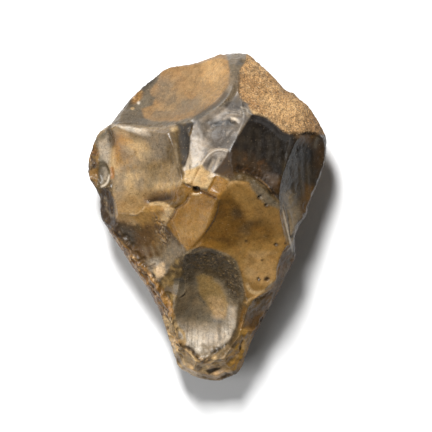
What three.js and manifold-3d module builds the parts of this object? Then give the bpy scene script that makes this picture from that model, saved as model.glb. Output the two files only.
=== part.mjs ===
// A pointed flint hand axe, knapped on both faces, with rough cortex left on one side of its butt.
// Millimetres. It lies on its lower face: +Z is up, the point lies towards -Y and the butt towards +Y.
import * as THREE from "three";
import { mergeVertices } from "three/addons/utils/BufferGeometryUtils.js";
import Module from "manifold-3d";

// Driving dimensions of the finished axe.
const length = 135;
const width = 98;
const thickness = 50;

// The nodule that was worked: a lens that bulges to noduleTop and noduleBottom around its middle.
// Its skin is left only where no flake was struck off, as cortex.
const noduleTop = 50.5;
const noduleBottom = -5;
const noduleMiddle = [0, 5];
const noduleDirections = 144;
const noduleRings = 12;

// How coarsely a hollow is faceted, and how thick a tool is unless its scar says otherwise.
const facetSize = 5;
const fewestFacets = 5;
const usualReach = 60;

// Corners of the outline, anticlockwise from the right side of the butt: [x, y, height of the edge, swell].
// swell is how far the edge from this corner to the next bows outwards, or inwards where it is negative.
const outline = [
  [48.7, 33, 23, 1.6],
  [35.4, 51.3, 23, 0],
  [33.2, 51.4, 23, 0.4],
  [17, 67.1, 23, 0.5],
  [4, 67.1, 21.5, -0.6],
  [-8, 62.9, 18.5, 0],
  [-16.5, 62, 17.5, 0],
  [-19.5, 59.6, 17.5, 1.4],
  [-39.5, 38.2, 23, 0],
  [-44, 36, 24, 1.5],
  [-49, 17.2, 22, 0.3],
  [-47.6, 15, 22, -0.9],
  [-43.8, 5, 22, 1.2],
  [-40.5, -5.2, 22, 0],
  [-33.6, -15.5, 22, 0.3],
  [-26, -26.4, 20, -0.3],
  [-18.6, -41, 18, 0],
  [-12.6, -61.4, 13, 0],
  [-4.8, -65.6, 12, 0.2],
  [4.5, -67.5, 12, 0.2],
  [13.2, -64, 12.5, 0.2],
  [18.8, -49.6, 16, 0.3],
  [26.2, -35.8, 20, 0],
  [31.4, -26, 22.5, 0],
  [36.2, -16, 25.5, 0.3],
  [35.8, -9.6, 26, -0.6],
  [40.3, 0.5, 25, -0.3],
  [47.8, 20.5, 22, 0.5],
];

// Flake scars of the upper face, largest first. Angles are in degrees.
// at: the middle of the hollow. falls: which way the scar faces, anticlockwise from +X, and how steeply.
// size: length, width and depth of the hollow. run: the way its length lies, where that isn't the way it falls.
// reach: half the height of the tool, small where the scar ends in steep walls.
const upperScars = {
  buttHollow: { at: [-10, 51, 27.2], falls: [124, 43], size: [44, 52, 4.4] },
  leftHollow: { at: [-26.5, 21.5, 33.4], falls: [180, 32], size: [36, 36, 2.6] },
  crestFacet: { at: [4, 34, 44.4], falls: [113, 20], size: [30, 30, 0.7] },
  rightFlat: { at: [18.5, 25.5, 45.1], falls: [28, 18], size: [34, 36, 0.8] },
  rightSide: { at: [37, 12, 31.8], falls: [350, 48], run: 80, size: [50, 26, 2.4] },
  centreRight: { at: [15.7, -9.2, 39.2], falls: [303, 21], size: [46, 36, 1] },
  centreLeft: { at: [-6, 0, 44.9], falls: [240, 13], size: [24, 24, 0.4] },
  pointHollow: { at: [0.8, -37, 25.2], falls: [272, 15], run: 90, size: [46, 31, 6] },
  lowerLeft: { at: [-23, -12, 32.6], falls: [208, 35], size: [30, 30, 1.4] },
  rightLower: { at: [21, -38, 26.6], falls: [319, 47], size: [16, 24, 0.8] },
  pointRight: { at: [13, -55, 20.9], falls: [318, 46], size: [14, 18, 0.8] },
  pointLeft: { at: [-9.5, -58.5, 20.4], falls: [228, 47], size: [10, 14, 0.8] },
  pointTip: { at: [3, -62, 18.8], falls: [274, 50], size: [14, 16, 0.8] },
  smallLeft: { at: [-13, -29, 32.2], falls: [214, 28], size: [16, 12, 0.8] },
  smallRight: { at: [32.5, -19, 28], falls: [335, 50], size: [12, 12, 0.8] },
  cortexDip: { at: [17, 53, 39.9], falls: [66, 42], size: [30, 30, 0.3] },
  cortexSide: { at: [35, 44.5, 33.5], falls: [50, 40], size: [30, 30, 0.3] },
  crestTop: { at: [-1, 15, 48.4], falls: [200, 2], size: [40, 40, 0.3] },
  crushed1: { at: [-32, -16, 25], falls: [214, 58], size: [9, 14, 0.8] },
  crushed2: { at: [-23.5, -28, 24.2], falls: [212, 58], size: [9, 14, 0.8] },
  crushed3: { at: [-18, -39, 22.6], falls: [204, 58], size: [9, 14, 0.8] },
  crushed4: { at: [-14, -50, 21.6], falls: [199, 60], size: [9, 14, 0.8] },
  groove: { at: [-10, 29, 42.7], falls: [112, 17], run: 97, size: [23, 4, 0.8], reach: 6 },
  smallCrest: { at: [3, 20.5, 47.2], falls: [80, 10], run: 235, size: [16, 9, 1.4], reach: 8 },
  leftEdge1: { at: [-42.5, 30, 25], falls: [176, 36], size: [12, 14, 1.2], reach: 8 },
  leftEdge2: { at: [-42, 17.5, 25.4], falls: [178, 36], size: [6, 12, 0.9], reach: 6 },
  leftEdge3: { at: [-41, 5, 24.6], falls: [190, 36], size: [8, 12, 0.8], reach: 12 },
};

// Broad scars near the middle of the lower face, as for the upper one.
const lowerScars = {
  underRight: { at: [22, 20, 5], falls: [32, 17], size: [40, 36, 1] },
  underButt: { at: [-8, 34, 5.2], falls: [104, 17], size: [40, 34, 1] },
  underLeft: { at: [-24, 6, 5], falls: [186, 18], size: [36, 34, 1] },
  underPoint: { at: [-4, -32, 3.4], falls: [264, 9], size: [48, 32, 1.2] },
  underSide: { at: [19, -18, 4.8], falls: [318, 17], size: [38, 28, 1] },
};

// Flake scars of the lower face, struck inwards from the edge all round.
// towards: where on the edge, as a direction from the nodule's middle. dip: how steeply the scar rises to the edge.
const lowerEdgeScars = [
  { towards: 12, dip: 43, size: [30, 30, 1.8] },
  { towards: 40, dip: 37, size: [36, 26, 1.6] },
  { towards: 68, dip: 36, size: [32, 32, 2] },
  { towards: 100, dip: 33, size: [40, 28, 1.8] },
  { towards: 126, dip: 38, size: [30, 26, 1.6] },
  { towards: 152, dip: 38, size: [32, 30, 1.8] },
  { towards: 181, dip: 41, size: [30, 26, 1.6] },
  { towards: 205, dip: 38, size: [32, 24, 1.6] },
  { towards: 226, dip: 38, size: [26, 18, 1.4] },
  { towards: 243, dip: 30, size: [26, 18, 1.2] },
  { towards: 256, dip: 24, size: [18, 14, 1] },
  { towards: 270, dip: 18, size: [22, 16, 1] },
  { towards: 284, dip: 24, size: [20, 14, 1] },
  { towards: 304, dip: 38, size: [28, 20, 1.4] },
  { towards: 326, dip: 45, size: [28, 20, 1.4] },
  { towards: 350, dip: 46, size: [28, 24, 1.6] },
];

const wasm = await Module();
wasm.setup();

// Turns a closed three.js geometry into a solid that can be cut.
function toSolid(geometry) {
  const bare = new THREE.BufferGeometry().setAttribute("position", geometry.getAttribute("position"));
  if (geometry.index) bare.setIndex(geometry.index);
  const merged = mergeVertices(bare, 1e-4);
  const mesh = new wasm.Mesh({
    numProp: 3,
    vertProperties: merged.getAttribute("position").array,
    triVerts: new Uint32Array(merged.index.array),
  });
  return new wasm.Manifold(mesh);
}

function toGeometry(solid) {
  const { vertProperties, triVerts } = solid.getMesh();
  return new THREE.BufferGeometry()
    .setAttribute("position", new THREE.BufferAttribute(vertProperties, 3))
    .setIndex(new THREE.BufferAttribute(triVerts, 1));
}

// The outline as a closed run of points, each side bowed by its swell.
function outlinePoints(stepsPerSide = 8) {
  const points = [];
  outline.forEach(([x, y, z, swell], i) => {
    const [endX, endY, endZ] = outline[(i + 1) % outline.length];
    const side = new THREE.Vector2(endX - x, endY - y);
    const outwards = new THREE.Vector2(side.y, -side.x).normalize();
    for (let step = 0; step < stepsPerSide; step++) {
      const share = step / stepsPerSide;
      const bow = 4 * swell * share * (1 - share);
      points.push(new THREE.Vector3(
        x + side.x * share + outwards.x * bow,
        y + side.y * share + outwards.y * bow,
        z + (endZ - z) * share,
      ));
    }
  });
  return points;
}

// Where a ray from the nodule's middle at this angle meets the outline.
function edgeTowards(angle, points) {
  const ray = new THREE.Vector2(Math.cos(angle), Math.sin(angle));
  const [middleX, middleY] = noduleMiddle;
  const cross = (point) => ray.x * (point.y - middleY) - ray.y * (point.x - middleX);
  const along = (point) => ray.x * (point.x - middleX) + ray.y * (point.y - middleY);
  for (let i = 0; i < points.length; i++) {
    const from = points[i];
    const to = points[(i + 1) % points.length];
    const before = cross(from);
    const after = cross(to);
    if (before <= 0 && after > 0 && along(from) > 0) {
      return from.clone().lerp(to, before / (before - after));
    }
  }
  throw new Error("the outline has no point towards " + angle);
}

// The nodule: rings of points from the top pole, out to the edge and back in to the bottom pole.
function noduleGeometry(edge) {
  const [middleX, middleY] = noduleMiddle;
  const positions = [];
  const ringCount = 2 * noduleRings - 1;
  for (let ring = 1; ring <= ringCount; ring++) {
    const turn = (ring / (ringCount + 1)) * Math.PI;
    const out = Math.sin(turn);
    const up = Math.abs(Math.cos(turn));
    const pole = ring < noduleRings ? noduleTop : noduleBottom;
    for (let i = 0; i < noduleDirections; i++) {
      const rim = edgeTowards((i / noduleDirections) * 2 * Math.PI, edge);
      positions.push(
        middleX + (rim.x - middleX) * out,
        middleY + (rim.y - middleY) * out,
        rim.z + (pole - rim.z) * up,
      );
    }
  }
  const top = positions.length / 3;
  positions.push(middleX, middleY, noduleTop, middleX, middleY, noduleBottom);
  const bottom = top + 1;
  const faces = [];
  for (let i = 0; i < noduleDirections; i++) {
    const next = (i + 1) % noduleDirections;
    faces.push(top, i, next);
    for (let ring = 0; ring < ringCount - 1; ring++) {
      const here = ring * noduleDirections;
      const below = here + noduleDirections;
      faces.push(here + i, below + i, below + next, here + i, below + next, here + next);
    }
    const last = (ringCount - 1) * noduleDirections;
    faces.push(bottom, last + next, last + i);
  }
  return new THREE.BufferGeometry()
    .setAttribute("position", new THREE.Float32BufferAttribute(positions, 3))
    .setIndex(faces);
}

// The body that one scar takes away: an ellipsoid that touches the scar's middle from outside.
// side is 1 for the upper face and -1 for the lower one.
function scarTool({ at, falls, size, run = falls[0], reach = usualReach }, side) {
  const [bearing, dip, travel] = [...falls, run].map(THREE.MathUtils.degToRad);
  const [long, wide, deep] = size;
  const normal = new THREE.Vector3(
    Math.sin(dip) * Math.cos(bearing),
    Math.sin(dip) * Math.sin(bearing),
    side * Math.cos(dip),
  );
  const along = new THREE.Vector3(Math.cos(travel), Math.sin(travel), 0);
  along.addScaledVector(normal, -along.dot(normal)).normalize();
  const across = new THREE.Vector3().crossVectors(normal, along);
  const halfLong = long * Math.sqrt(reach / (8 * deep));
  const halfWide = wide * Math.sqrt(reach / (8 * deep));
  const facets = Math.max(fewestFacets, Math.round(Math.max(halfLong, halfWide) / facetSize));
  const place = new THREE.Matrix4()
    .makeBasis(along, across, normal)
    .scale(new THREE.Vector3(halfLong, halfWide, reach))
    .setPosition(new THREE.Vector3(...at).addScaledVector(normal, reach));
  return new THREE.IcosahedronGeometry(1, facets).applyMatrix4(place);
}

// A scar that starts at the edge and runs inwards and down from it.
function lowerEdgeScar({ towards, dip, size }, edge) {
  const angle = THREE.MathUtils.degToRad(towards);
  const start = edgeTowards(angle, edge);
  const [long, , deep] = size;
  const inwards = long / 2;
  const at = [
    start.x - Math.cos(angle) * inwards,
    start.y - Math.sin(angle) * inwards,
    start.z - Math.tan(THREE.MathUtils.degToRad(dip)) * inwards + deep,
  ];
  return { at, falls: [towards, dip], size };
}

// Everything below the ground, which leaves the axe a small flat to rest on.
function groundTool() {
  const side = 2 * length;
  return new THREE.BoxGeometry(side, side, side).translate(0, 0, -side / 2);
}

const edge = outlinePoints();
let axe = toSolid(noduleGeometry(edge));
for (const scar of Object.values(upperScars)) axe = axe.subtract(toSolid(scarTool(scar, 1)));
for (const scar of Object.values(lowerScars)) axe = axe.subtract(toSolid(scarTool(scar, -1)));
for (const scar of lowerEdgeScars) axe = axe.subtract(toSolid(scarTool(lowerEdgeScar(scar, edge), -1)));
axe = axe.subtract(toSolid(groundTool()));

// The finished axe is brought to its driving dimensions, with its origin under its middle.
const geometry = toGeometry(axe);
geometry.computeBoundingBox();
const { min, max } = geometry.boundingBox;
geometry.translate(-(min.x + max.x) / 2, -(min.y + max.y) / 2, -min.z);
geometry.scale(width / (max.x - min.x), length / (max.y - min.y), thickness / (max.z - min.z));
geometry.computeVertexNormals();
const flint = new THREE.MeshStandardMaterial({ color: 0x7d6647, roughness: 0.4, metalness: 0 });
const handAxe = new THREE.Mesh(geometry, flint);
handAxe.name = "hand_axe";

const part = new THREE.Group();
part.add(handAxe);
export default part;
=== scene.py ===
import math

import bmesh
import bpy
import numpy as np
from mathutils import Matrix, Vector, kdtree


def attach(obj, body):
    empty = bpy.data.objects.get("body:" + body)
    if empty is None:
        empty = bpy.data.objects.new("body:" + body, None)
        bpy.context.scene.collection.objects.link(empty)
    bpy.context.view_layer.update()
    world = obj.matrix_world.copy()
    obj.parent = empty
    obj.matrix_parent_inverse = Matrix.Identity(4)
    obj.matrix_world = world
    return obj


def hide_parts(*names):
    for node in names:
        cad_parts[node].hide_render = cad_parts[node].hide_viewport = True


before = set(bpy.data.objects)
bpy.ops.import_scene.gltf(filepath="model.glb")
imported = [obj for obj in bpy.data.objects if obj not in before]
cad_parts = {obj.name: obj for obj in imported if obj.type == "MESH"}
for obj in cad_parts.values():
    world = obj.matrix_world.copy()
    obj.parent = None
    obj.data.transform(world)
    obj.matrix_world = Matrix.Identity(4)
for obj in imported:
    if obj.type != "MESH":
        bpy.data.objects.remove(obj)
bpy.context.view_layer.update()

mm = 0.001
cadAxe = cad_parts["hand_axe"]

skin = {
    "voxel": 0.45 * mm,       # spacing of the sculpting mesh
    "ridgeAngle": 9,          # edges sharper than this are flake ridges and stay crisp
    "ridgeStep": 0.4 * mm,    # spacing of the points that stand for a ridge
    "keepNear": 0.55 * mm,    # this close to a ridge nothing is smoothed
    "rounds": 50,             # smoothing between ridges
    "settle": 2,              # smoothing everywhere
    "rubbed": [((-11.6, 36), 3.4), ((-11.4, 31), 3.2), ((-11.4, 26), 3.0)],   # worn soft: place, radius
    "triangles": 196000,
}


def mergedSolid():
    bm = bmesh.new()
    bm.from_mesh(cadAxe.data)
    bmesh.ops.remove_doubles(bm, verts=bm.verts, dist=1e-6)
    return bm


def ridgeTree(bm):
    # points along every sharp edge, to ask how far off the nearest ridge is
    points = []
    for edge in bm.edges:
        if len(edge.link_faces) == 2 and math.degrees(edge.calc_face_angle(0)) > skin["ridgeAngle"]:
            a, b = (v.co for v in edge.verts)
            count = max(1, int((b - a).length / skin["ridgeStep"]))
            points += [a.lerp(b, i / count) for i in range(count + 1)]
    tree = kdtree.KDTree(len(points))
    for i, point in enumerate(points):
        tree.insert(point, i)
    tree.balance()
    return tree


def appliedCopy(mesh, kind, **settings):
    # the mesh as one modifier leaves it
    blank = bpy.data.objects.new("blank", mesh)
    bpy.context.scene.collection.objects.link(blank)
    if "vertex_group" in settings:
        group = blank.vertex_groups.new(name=settings["vertex_group"])
        for weight, members in settings.pop("weights"):
            group.add(members, weight, "REPLACE")
    modifier = blank.modifiers.new(kind, kind)
    for name, value in settings.items():
        setattr(modifier, name, value)
    graph = bpy.context.evaluated_depsgraph_get()
    result = bpy.data.meshes.new_from_object(blank.evaluated_get(graph))
    bpy.data.objects.remove(blank)
    return result


def smoothed(bm, verts, rounds):
    for _ in range(rounds):
        bmesh.ops.smooth_vert(bm, verts=verts, factor=0.5,
                              use_axis_x=True, use_axis_y=True, use_axis_z=True)


def flintBlank():
    # the solid as an even fine mesh: hollows smooth, ridges between them sharp
    solid = mergedSolid()
    ridges = ridgeTree(solid)
    coarse = bpy.data.meshes.new("axeSolid")
    solid.to_mesh(coarse)
    solid.free()
    fine = appliedCopy(coarse, "REMESH", mode="VOXEL", voxel_size=skin["voxel"])
    bm = bmesh.new()
    bm.from_mesh(fine)
    rubbed = [(Vector(at), radius) for at, radius in skin["rubbed"]]
    loose = [v for v in bm.verts if ridges.find(v.co)[2] > skin["keepNear"]
             or any((v.co.xy / mm - at).length < radius for at, radius in rubbed)]
    smoothed(bm, loose, skin["rounds"])
    smoothed(bm, bm.verts, skin["settle"])
    bm.to_mesh(fine)
    bm.free()
    return fine


# Places below are in millimetres seen from above: x to the right, y towards the butt.

def positions(mesh):
    flat = np.empty(len(mesh.vertices) * 3)
    mesh.vertices.foreach_get("co", flat)
    return flat.reshape(-1, 3) / mm


def normals(mesh):
    flat = np.empty(len(mesh.vertices) * 3)
    mesh.vertices.foreach_get("normal", flat)
    return flat.reshape(-1, 3)


def soften(start, end, value):
    t = np.clip((value - start) / (end - start), 0, 1)
    return t * t * (3 - 2 * t)


def lattice(points, size, seed):
    # smooth noise between -1 and 1
    tableSize = 4096
    primes = np.array([73856093, 19349663, 83492791])   # they scatter the cells over the table
    table = np.random.default_rng(seed).random(tableSize) * 2 - 1
    turned = np.stack([points[:, 0] * 0.8 + points[:, 1] * 0.6, points[:, 1] * 0.8 - points[:, 0] * 0.6,
                       points[:, 2] + points[:, 0] * 0.3], axis=1) / size + 500
    cell = np.floor(turned).astype(np.int64)
    part = turned - cell
    part = part * part * (3 - 2 * part)
    total = np.zeros(len(points))
    for corner in range(8):
        bits = np.array([corner & 1, corner >> 1 & 1, corner >> 2])
        keys = (cell + bits) * primes
        weight = np.prod(np.where(bits, part, 1 - part), axis=1)
        total += table[(keys[:, 0] ^ keys[:, 1] ^ keys[:, 2]) & (tableSize - 1)] * weight
    return total


def layered(points, size, seed, layers=3):
    # noise with finer and weaker noise on top
    return sum(lattice(points, size / 2 ** i, seed + i) / 2 ** i for i in range(layers)) / 1.5


def curveThrough(points, spacing=0.7):
    # a smooth curve through the points, as short straight pieces
    p = np.array(points, float)
    p = np.vstack([2 * p[0] - p[1], p, 2 * p[-1] - p[-2]])
    curve = []
    for a, b, c, d in zip(p, p[1:], p[2:], p[3:]):
        for t in np.linspace(0, 1, max(2, int(np.hypot(*(c - b)) / spacing)), endpoint=False):
            curve.append((2 * b + (c - a) * t + (2 * a - 5 * b + 4 * c - d) * t ** 2
                          + (3 * b - a - 3 * c + d) * t ** 3) / 2)
    return np.array(curve + [p[-2]])


class Surface:
    # works on the vertices of one mesh whose normals face up
    def __init__(self, mesh):
        self.mesh = mesh
        self.place = positions(mesh)
        self.normal = normals(mesh)
        self.upper = soften(-0.05, 0.2, self.normal[:, 2])
        self.rise = np.zeros(len(self.place))
        self.lift = np.zeros(len(self.place))

    def near(self, points, reach):
        # the upper vertices in the box round some points
        p = np.array(points, float)
        low, high = p.min(axis=0) - reach, p.max(axis=0) + reach
        x, y = self.place[:, 0], self.place[:, 1]
        inside = (x > low[0]) & (x < high[0]) & (y > low[1]) & (y < high[1]) & (self.upper > 0)
        return np.nonzero(inside)[0]

    def besideLine(self, points, reach):
        # for the vertices near a line: how far off, which side (1 is left of its run), and how far along
        some = self.near(points, reach)
        spots = self.place[some, :2]
        line = curveThrough(points)
        off = np.full(len(some), 1e9)
        side = np.zeros(len(some))
        along = np.zeros(len(some))
        for i, (a, b) in enumerate(zip(line, line[1:])):
            run = b - a
            t = np.clip((spots - a) @ run / (run @ run), 0, 1)
            gap = spots - a - t[:, None] * run
            distance = np.hypot(gap[:, 0], gap[:, 1])
            nearer = distance < off
            off = np.where(nearer, distance, off)
            side = np.where(nearer, np.sign(run[0] * gap[:, 1] - run[1] * gap[:, 0]), side)
            along = np.where(nearer, (i + t) / (len(line) - 1), along)
        return some, off, side, along

    def insideOutline(self, points, reach):
        # signed distance to a closed outline, positive inside
        some = self.near(points, reach)
        spots = self.place[some, :2]
        p = np.array(points, float)
        off = np.full(len(some), 1e9)
        inside = np.zeros(len(some), bool)
        for a, b in zip(p, np.roll(p, -1, axis=0)):
            run = b - a
            t = np.clip((spots - a) @ run / (run @ run), 0, 1)
            gap = spots - a - t[:, None] * run
            off = np.minimum(off, np.hypot(gap[:, 0], gap[:, 1]))
            crosses = (a[1] > spots[:, 1]) != (b[1] > spots[:, 1])
            if a[1] != b[1]:
                crossing = a[0] + (spots[:, 1] - a[1]) * run[0] / run[1]
                inside ^= crosses & (spots[:, 0] < crossing)
        return some, np.where(inside, off, -off)

    def bowl(self, at, radii, turn, reach=1.0):
        # scaled distance from the middle of a turned ellipse
        most = max(radii) * reach
        some = self.near([at], most)
        spots = self.place[some, :2] - np.array(at)
        c, s = math.cos(math.radians(turn)), math.sin(math.radians(turn))
        u = (spots[:, 0] * c + spots[:, 1] * s) / radii[0]
        v = (spots[:, 1] * c - spots[:, 0] * s) / radii[1]
        return some, u, v

    # relief

    def add(self, some, height):
        self.rise[some] += height * self.upper[some]

    def ends(self, along, taper):
        return soften(0, taper, along) * soften(0, taper, 1 - along)

    def step(self, points, drop, fade, taper=0.15, ramp=0.0):
        # the surface left of the line sinks at once, or over the ramp, and comes back over the fade
        some, off, side, along = self.besideLine(points, fade * 2.2)
        amount = np.exp(-((np.maximum(off - ramp, 0) / fade) ** 2)) * soften(0, max(ramp, 0.3), off)
        self.add(some, -drop * amount * (side > 0) * self.ends(along, taper))

    def crease(self, points, depth, left, right, taper=0.12):
        # a groove with a wall of its own width on each side; a negative depth makes a lip
        some, off, side, along = self.besideLine(points, max(left, right) * 2.5)
        width = np.where(side > 0, left, right)
        self.add(some, -depth * np.exp(-((off / width) ** 2)) * self.ends(along, taper))

    def scoop(self, at, radii, turn, depth, lean=0.0):
        # a small scar with a sharp rim, deeper towards one end of its length where it leans
        some, u, v = self.bowl(at, radii, turn)
        r = u * u + v * v
        self.add(some, -depth * np.clip(1 - r, 0, 1) * (1 + lean * np.clip(u, -1, 1)))

    def swell(self, at, radii, turn, height):
        some, u, v = self.bowl(at, radii, turn, 2.6)
        self.add(some, height * np.exp(-(u * u + v * v) * 1.2))

    def ripples(self, centre, at, radii, turn, height, length, seed):
        # waves round a striking point, within a soft ellipse
        some, u, v = self.bowl(at, radii, turn, 1.6)
        spots = self.place[some]
        radius = np.hypot(spots[:, 0] - centre[0], spots[:, 1] - centre[1])
        radius = radius + layered(spots, 9, seed) * length * 0.35
        window = soften(1.3, 0.5, np.sqrt(u * u + v * v))
        self.add(some, height * np.sin(radius / length * 2 * math.pi) * window)

    def rough(self, points, height, size, soft, seed, layers=3):
        some, depth = self.insideOutline(points, soft)
        window = soften(-soft, soft, depth)
        self.add(some, height * layered(self.place[some], size, seed, layers) * window)

    def chips(self, points, count, radius, depth, seed):
        # small scars knocked off along an edge
        line = curveThrough(points)
        dice = np.random.default_rng(seed)
        for spot in np.linspace(0, len(line) - 1, count):
            at = line[int(spot)] + dice.normal(0, radius * 0.25, 2)
            size = radius * dice.uniform(0.6, 1.35)
            radii = (size, size * dice.uniform(0.6, 1.1))
            self.scoop(at, radii, dice.uniform(0, 180), depth * dice.uniform(0.5, 1.2))

    def flatten(self, points, inner, gain, rim, most):
        # a steep bevel made flatter: raised straight up, more and more away from its inner line
        some, depth = self.insideOutline(points, 0.1)
        line, off, _, _ = self.besideLine(inner, 40)
        away = np.zeros(len(self.place))
        away[line] = off
        self.lift[some] += np.minimum(gain * away[some], most) * soften(0, rim, depth) * self.upper[some]

    def carve(self):
        moved = (self.place + self.normal * self.rise[:, None]) * mm
        moved[:, 2] += self.lift * mm
        self.mesh.vertices.foreach_set("co", moved.ravel())
        self.mesh.update()


def shapeButt(top):
    cortex = [(13.5, 48), (13.8, 60), (16, 63), (17, 68), (26, 62), (33, 52), (42, 47), (50, 38),
              (50, 33.5), (34, 33.5), (28, 37.5), (18.5, 42)]
    top.step([(11.5, 57), (9.2, 51), (6, 46.6), (0.5, 42.4), (-5, 39.8)], 1.3, 9, 0.2, 2.6)
    top.step([(13.6, 66), (13, 60), (12.6, 54), (13.5, 49)], 0.5, 5, 0.15, 1.2)
    top.ripples((8, 66), (-6, 52), (20, 12), 20, 0.035, 5.2, 11)
    top.swell((2, 57), (7, 4), 40, 0.35)
    top.swell((-12, 46), (9, 4), 15, -0.25)
    top.swell((-27, 48), (5, 3), 50, 0.25)
    top.rough(cortex, 0.42, 1.7, 0.6, 21)
    top.rough(cortex, 0.35, 6.0, 1.2, 25, 2)
    top.crease([(14, 48), (18.5, 42.3), (24, 40.5), (28, 37.5), (31, 34.6), (40, 33.8), (47, 33.6)],
               0.7, 0.5, 1.0)
    top.crease([(-36, 37.4), (-30, 37.4), (-24.2, 36.5), (-19, 36.3)], 0.25, 0.35, 0.5)


def shapeCrest(top):
    # groove beside the facet
    top.step([(-9.8, 19), (-8.6, 23), (-7.6, 27), (-7.2, 32), (-6.4, 36), (-5.2, 39)], 0.9, 3.2, 0.15, 0.5)
    top.crease([(-12.7, 33), (-12.2, 27), (-11.2, 20)], -0.08, 1.0, 1.0)
    top.swell((-13.5, 36), (1.6, 1.2), 20, 0.5)
    # fold across the facet, and ripples where it starts
    top.crease([(-1, 35.6), (2.4, 37.4), (6.3, 38.4), (10.4, 38), (13.6, 36.2)], 0.5, 1.7, 2.0, 0.2)
    top.crease([(9, 40.2), (11.2, 39.4), (13.2, 38.2)], -0.3, 0.7, 0.7, 0.3)
    top.crease([(6, 43.8), (10, 42.6), (13.5, 42.4)], 0.3, 0.8, 0.9, 0.3)
    top.rough([(-7, 36), (2, 44), (12, 47), (17, 42), (8, 30), (-2, 22), (-8, 22)], 0.14, 1.5, 1.2, 33)
    for x, deep in ((11.2, 0.10), (13.1, 0.16), (14.4, 0.08), (16.5, 0.14)):
        top.crease([(x, 45.4), (x + 0.7, 42.8), (x + 0.3, 40.6)], deep, 0.6, 0.9, 0.3)
    top.ripples((-6, 40), (0, 31), (9, 10), 60, 0.05, 4.6, 31)
    top.swell((3.5, 32.5), (6, 3.5), 10, -0.7)
    top.swell((-4, 30), (2.6, 7), 10, 0.3)
    # small scar at its lower end
    top.crease([(-3.2, 19.5), (-1.2, 23), (0.8, 25.5), (3.7, 27.4), (6.5, 27.5), (9, 25.6)],
               -0.45, 0.45, 0.6)
    top.crease([(2.6, 24.6), (2.2, 21), (1.4, 18.4)], 0.3, 0.7, 0.9, 0.3)
    top.crease([(6.6, 25), (5.8, 21.6), (4.6, 19)], 0.25, 0.6, 0.8, 0.3)


def shapeCentre(top):
    # crack under the pale blocks, with its small hole
    top.crease([(-9.8, 14), (-7.8, 12.9), (-5.9, 12.2), (-3.5, 10.7), (-1.8, 10)], 0.6, 0.42, 0.4)
    top.crease([(-3, 10.5), (-1.8, 10), (1, 8.8), (4.2, 7.3)], 0.3, 0.4, 0.4)
    top.scoop((-4.4, 11.2), (1.5, 1.3), 20, 1.7)
    top.crease([(-5.9, 9.7), (-4.4, 9.3), (-2.9, 9.5)], -0.35, 0.4, 0.5, 0.3)
    top.crease([(-7.4, 9.4), (-8.8, 6.4), (-10.6, 4.9), (-12.8, 3.4), (-13.9, 0.9), (-16.1, -1.7)],
               0.55, 0.5, 0.5)
    top.step([(4.6, 8), (4.2, 3.5), (2.2, -1.7), (-0.7, -5.7), (-4.8, -10.5), (-7.7, -13)],
             0.5, 6, 0.12, 0.9)
    # the blocks
    top.crease([(-2.6, 21.4), (-5.9, 14.4), (-5.9, 12.6)], 0.35, 0.35, 0.45)
    top.step([(3.4, 17.2), (0.4, 11.2)], 0.5, 3, 0.2, 0.3)
    top.step([(-9.4, 19.6), (-9.8, 15.5), (-8.8, 13.2)], 0.5, 3.5, 0.2, 0.4)
    # broken-off edge between the black flat and the centre
    top.crease([(10.5, 19.9), (16.4, 18.1), (20.9, 16.2), (24.2, 13.7), (26.4, 9.7), (29.6, 6.6)],
               1.3, 1.7, 0.8, 0.18)
    broken = [(10, 21.4), (17, 21.4), (24, 18.4), (29, 13), (30.4, 6), (24, 5.4), (20, 11), (14, 16)]
    top.rough(broken, 0.32, 1.3, 0.8, 41)
    top.chips([(13, 20.6), (18, 19.4), (23, 16.4), (27, 11)], 12, 1.0, 0.3, 42)
    top.crease([(17.5, 14.6), (22, 12.3), (26.6, 8)], 0.35, 0.6, 0.5)
    top.ripples((16, 18), (14, -4), (14, 16), 80, 0.035, 6.2, 43)
    top.swell((20, -6), (4.5, 3), 30, -0.4)
    top.swell((11, 6), (4, 5), 0, 0.3)
    # pits
    for at, size in (((21.5, 8), 1.1), ((24, 5), 0.9), ((28, -11), 0.8), ((24.5, -25.5), 1.1),
                     ((21, -25), 0.8)):
        top.scoop(at, (size, size * 0.8), 30, 0.6)


def shapeLeft(top):
    # hinge where the left hollow ends against the lower flake
    top.crease([(-26, 4.9), (-23, 6.1), (-19.5, 6.6), (-16, 6.6), (-11.4, 7.8)], 1.2, 3.0, 0.8, 0.2)
    top.crease([(-24.6, 4.9), (-20.1, 5.4), (-16.1, 5.2), (-14.8, 3.6), (-12.8, 3.1)], -0.2, 0.5, 0.7)
    top.crease([(-32.2, 1.6), (-28.9, 1.2), (-26.4, 3.1), (-24.8, 4.6)], -0.3, 0.4, 0.6)
    top.rough([(-22, 0), (-16.4, 0), (-15, -11), (-20, -12)], 0.5, 1.1, 1.2, 51)
    top.rough([(-26, -17), (-18, -16), (-15, -22), (-20, -26)], 0.5, 1.7, 1.2, 52)
    top.rough([(-19, 21), (-8, 21), (-8, 11), (-19, 11)], 0.35, 3.0, 2.0, 53)
    top.swell((-25, 12), (8, 6), 10, -0.35)
    top.swell((-16, 27), (3, 8), 5, -0.3)
    top.swell((-31, 33), (7, 2.5), 160, -0.4)
    top.ripples((-44, 30), (-26, 20), (13, 13), 0, 0.03, 5.4, 55)
    # lower left flake, rising again towards the light at its far end
    top.swell((-22, -13), (8, 5), 30, -0.6)
    top.ripples((-20, 4), (-23, -12), (9, 10), 40, 0.04, 4.6, 57)
    top.crease([(-30, -18.5), (-25, -20.5), (-20, -25)], -0.3, 0.5, 0.6)
    top.crease([(-26.5, -19.8), (-22, -17.8), (-20.5, -18.8)], 0.3, 0.4, 0.5)
    top.scoop((-11.4, -28), (2.9, 4.4), 80, 0.7, 0.4)
    top.crease([(-8.9, -24.6), (-8.4, -28), (-9.2, -31.2), (-11.5, -32.6)], -0.3, 0.4, 0.5)


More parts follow.
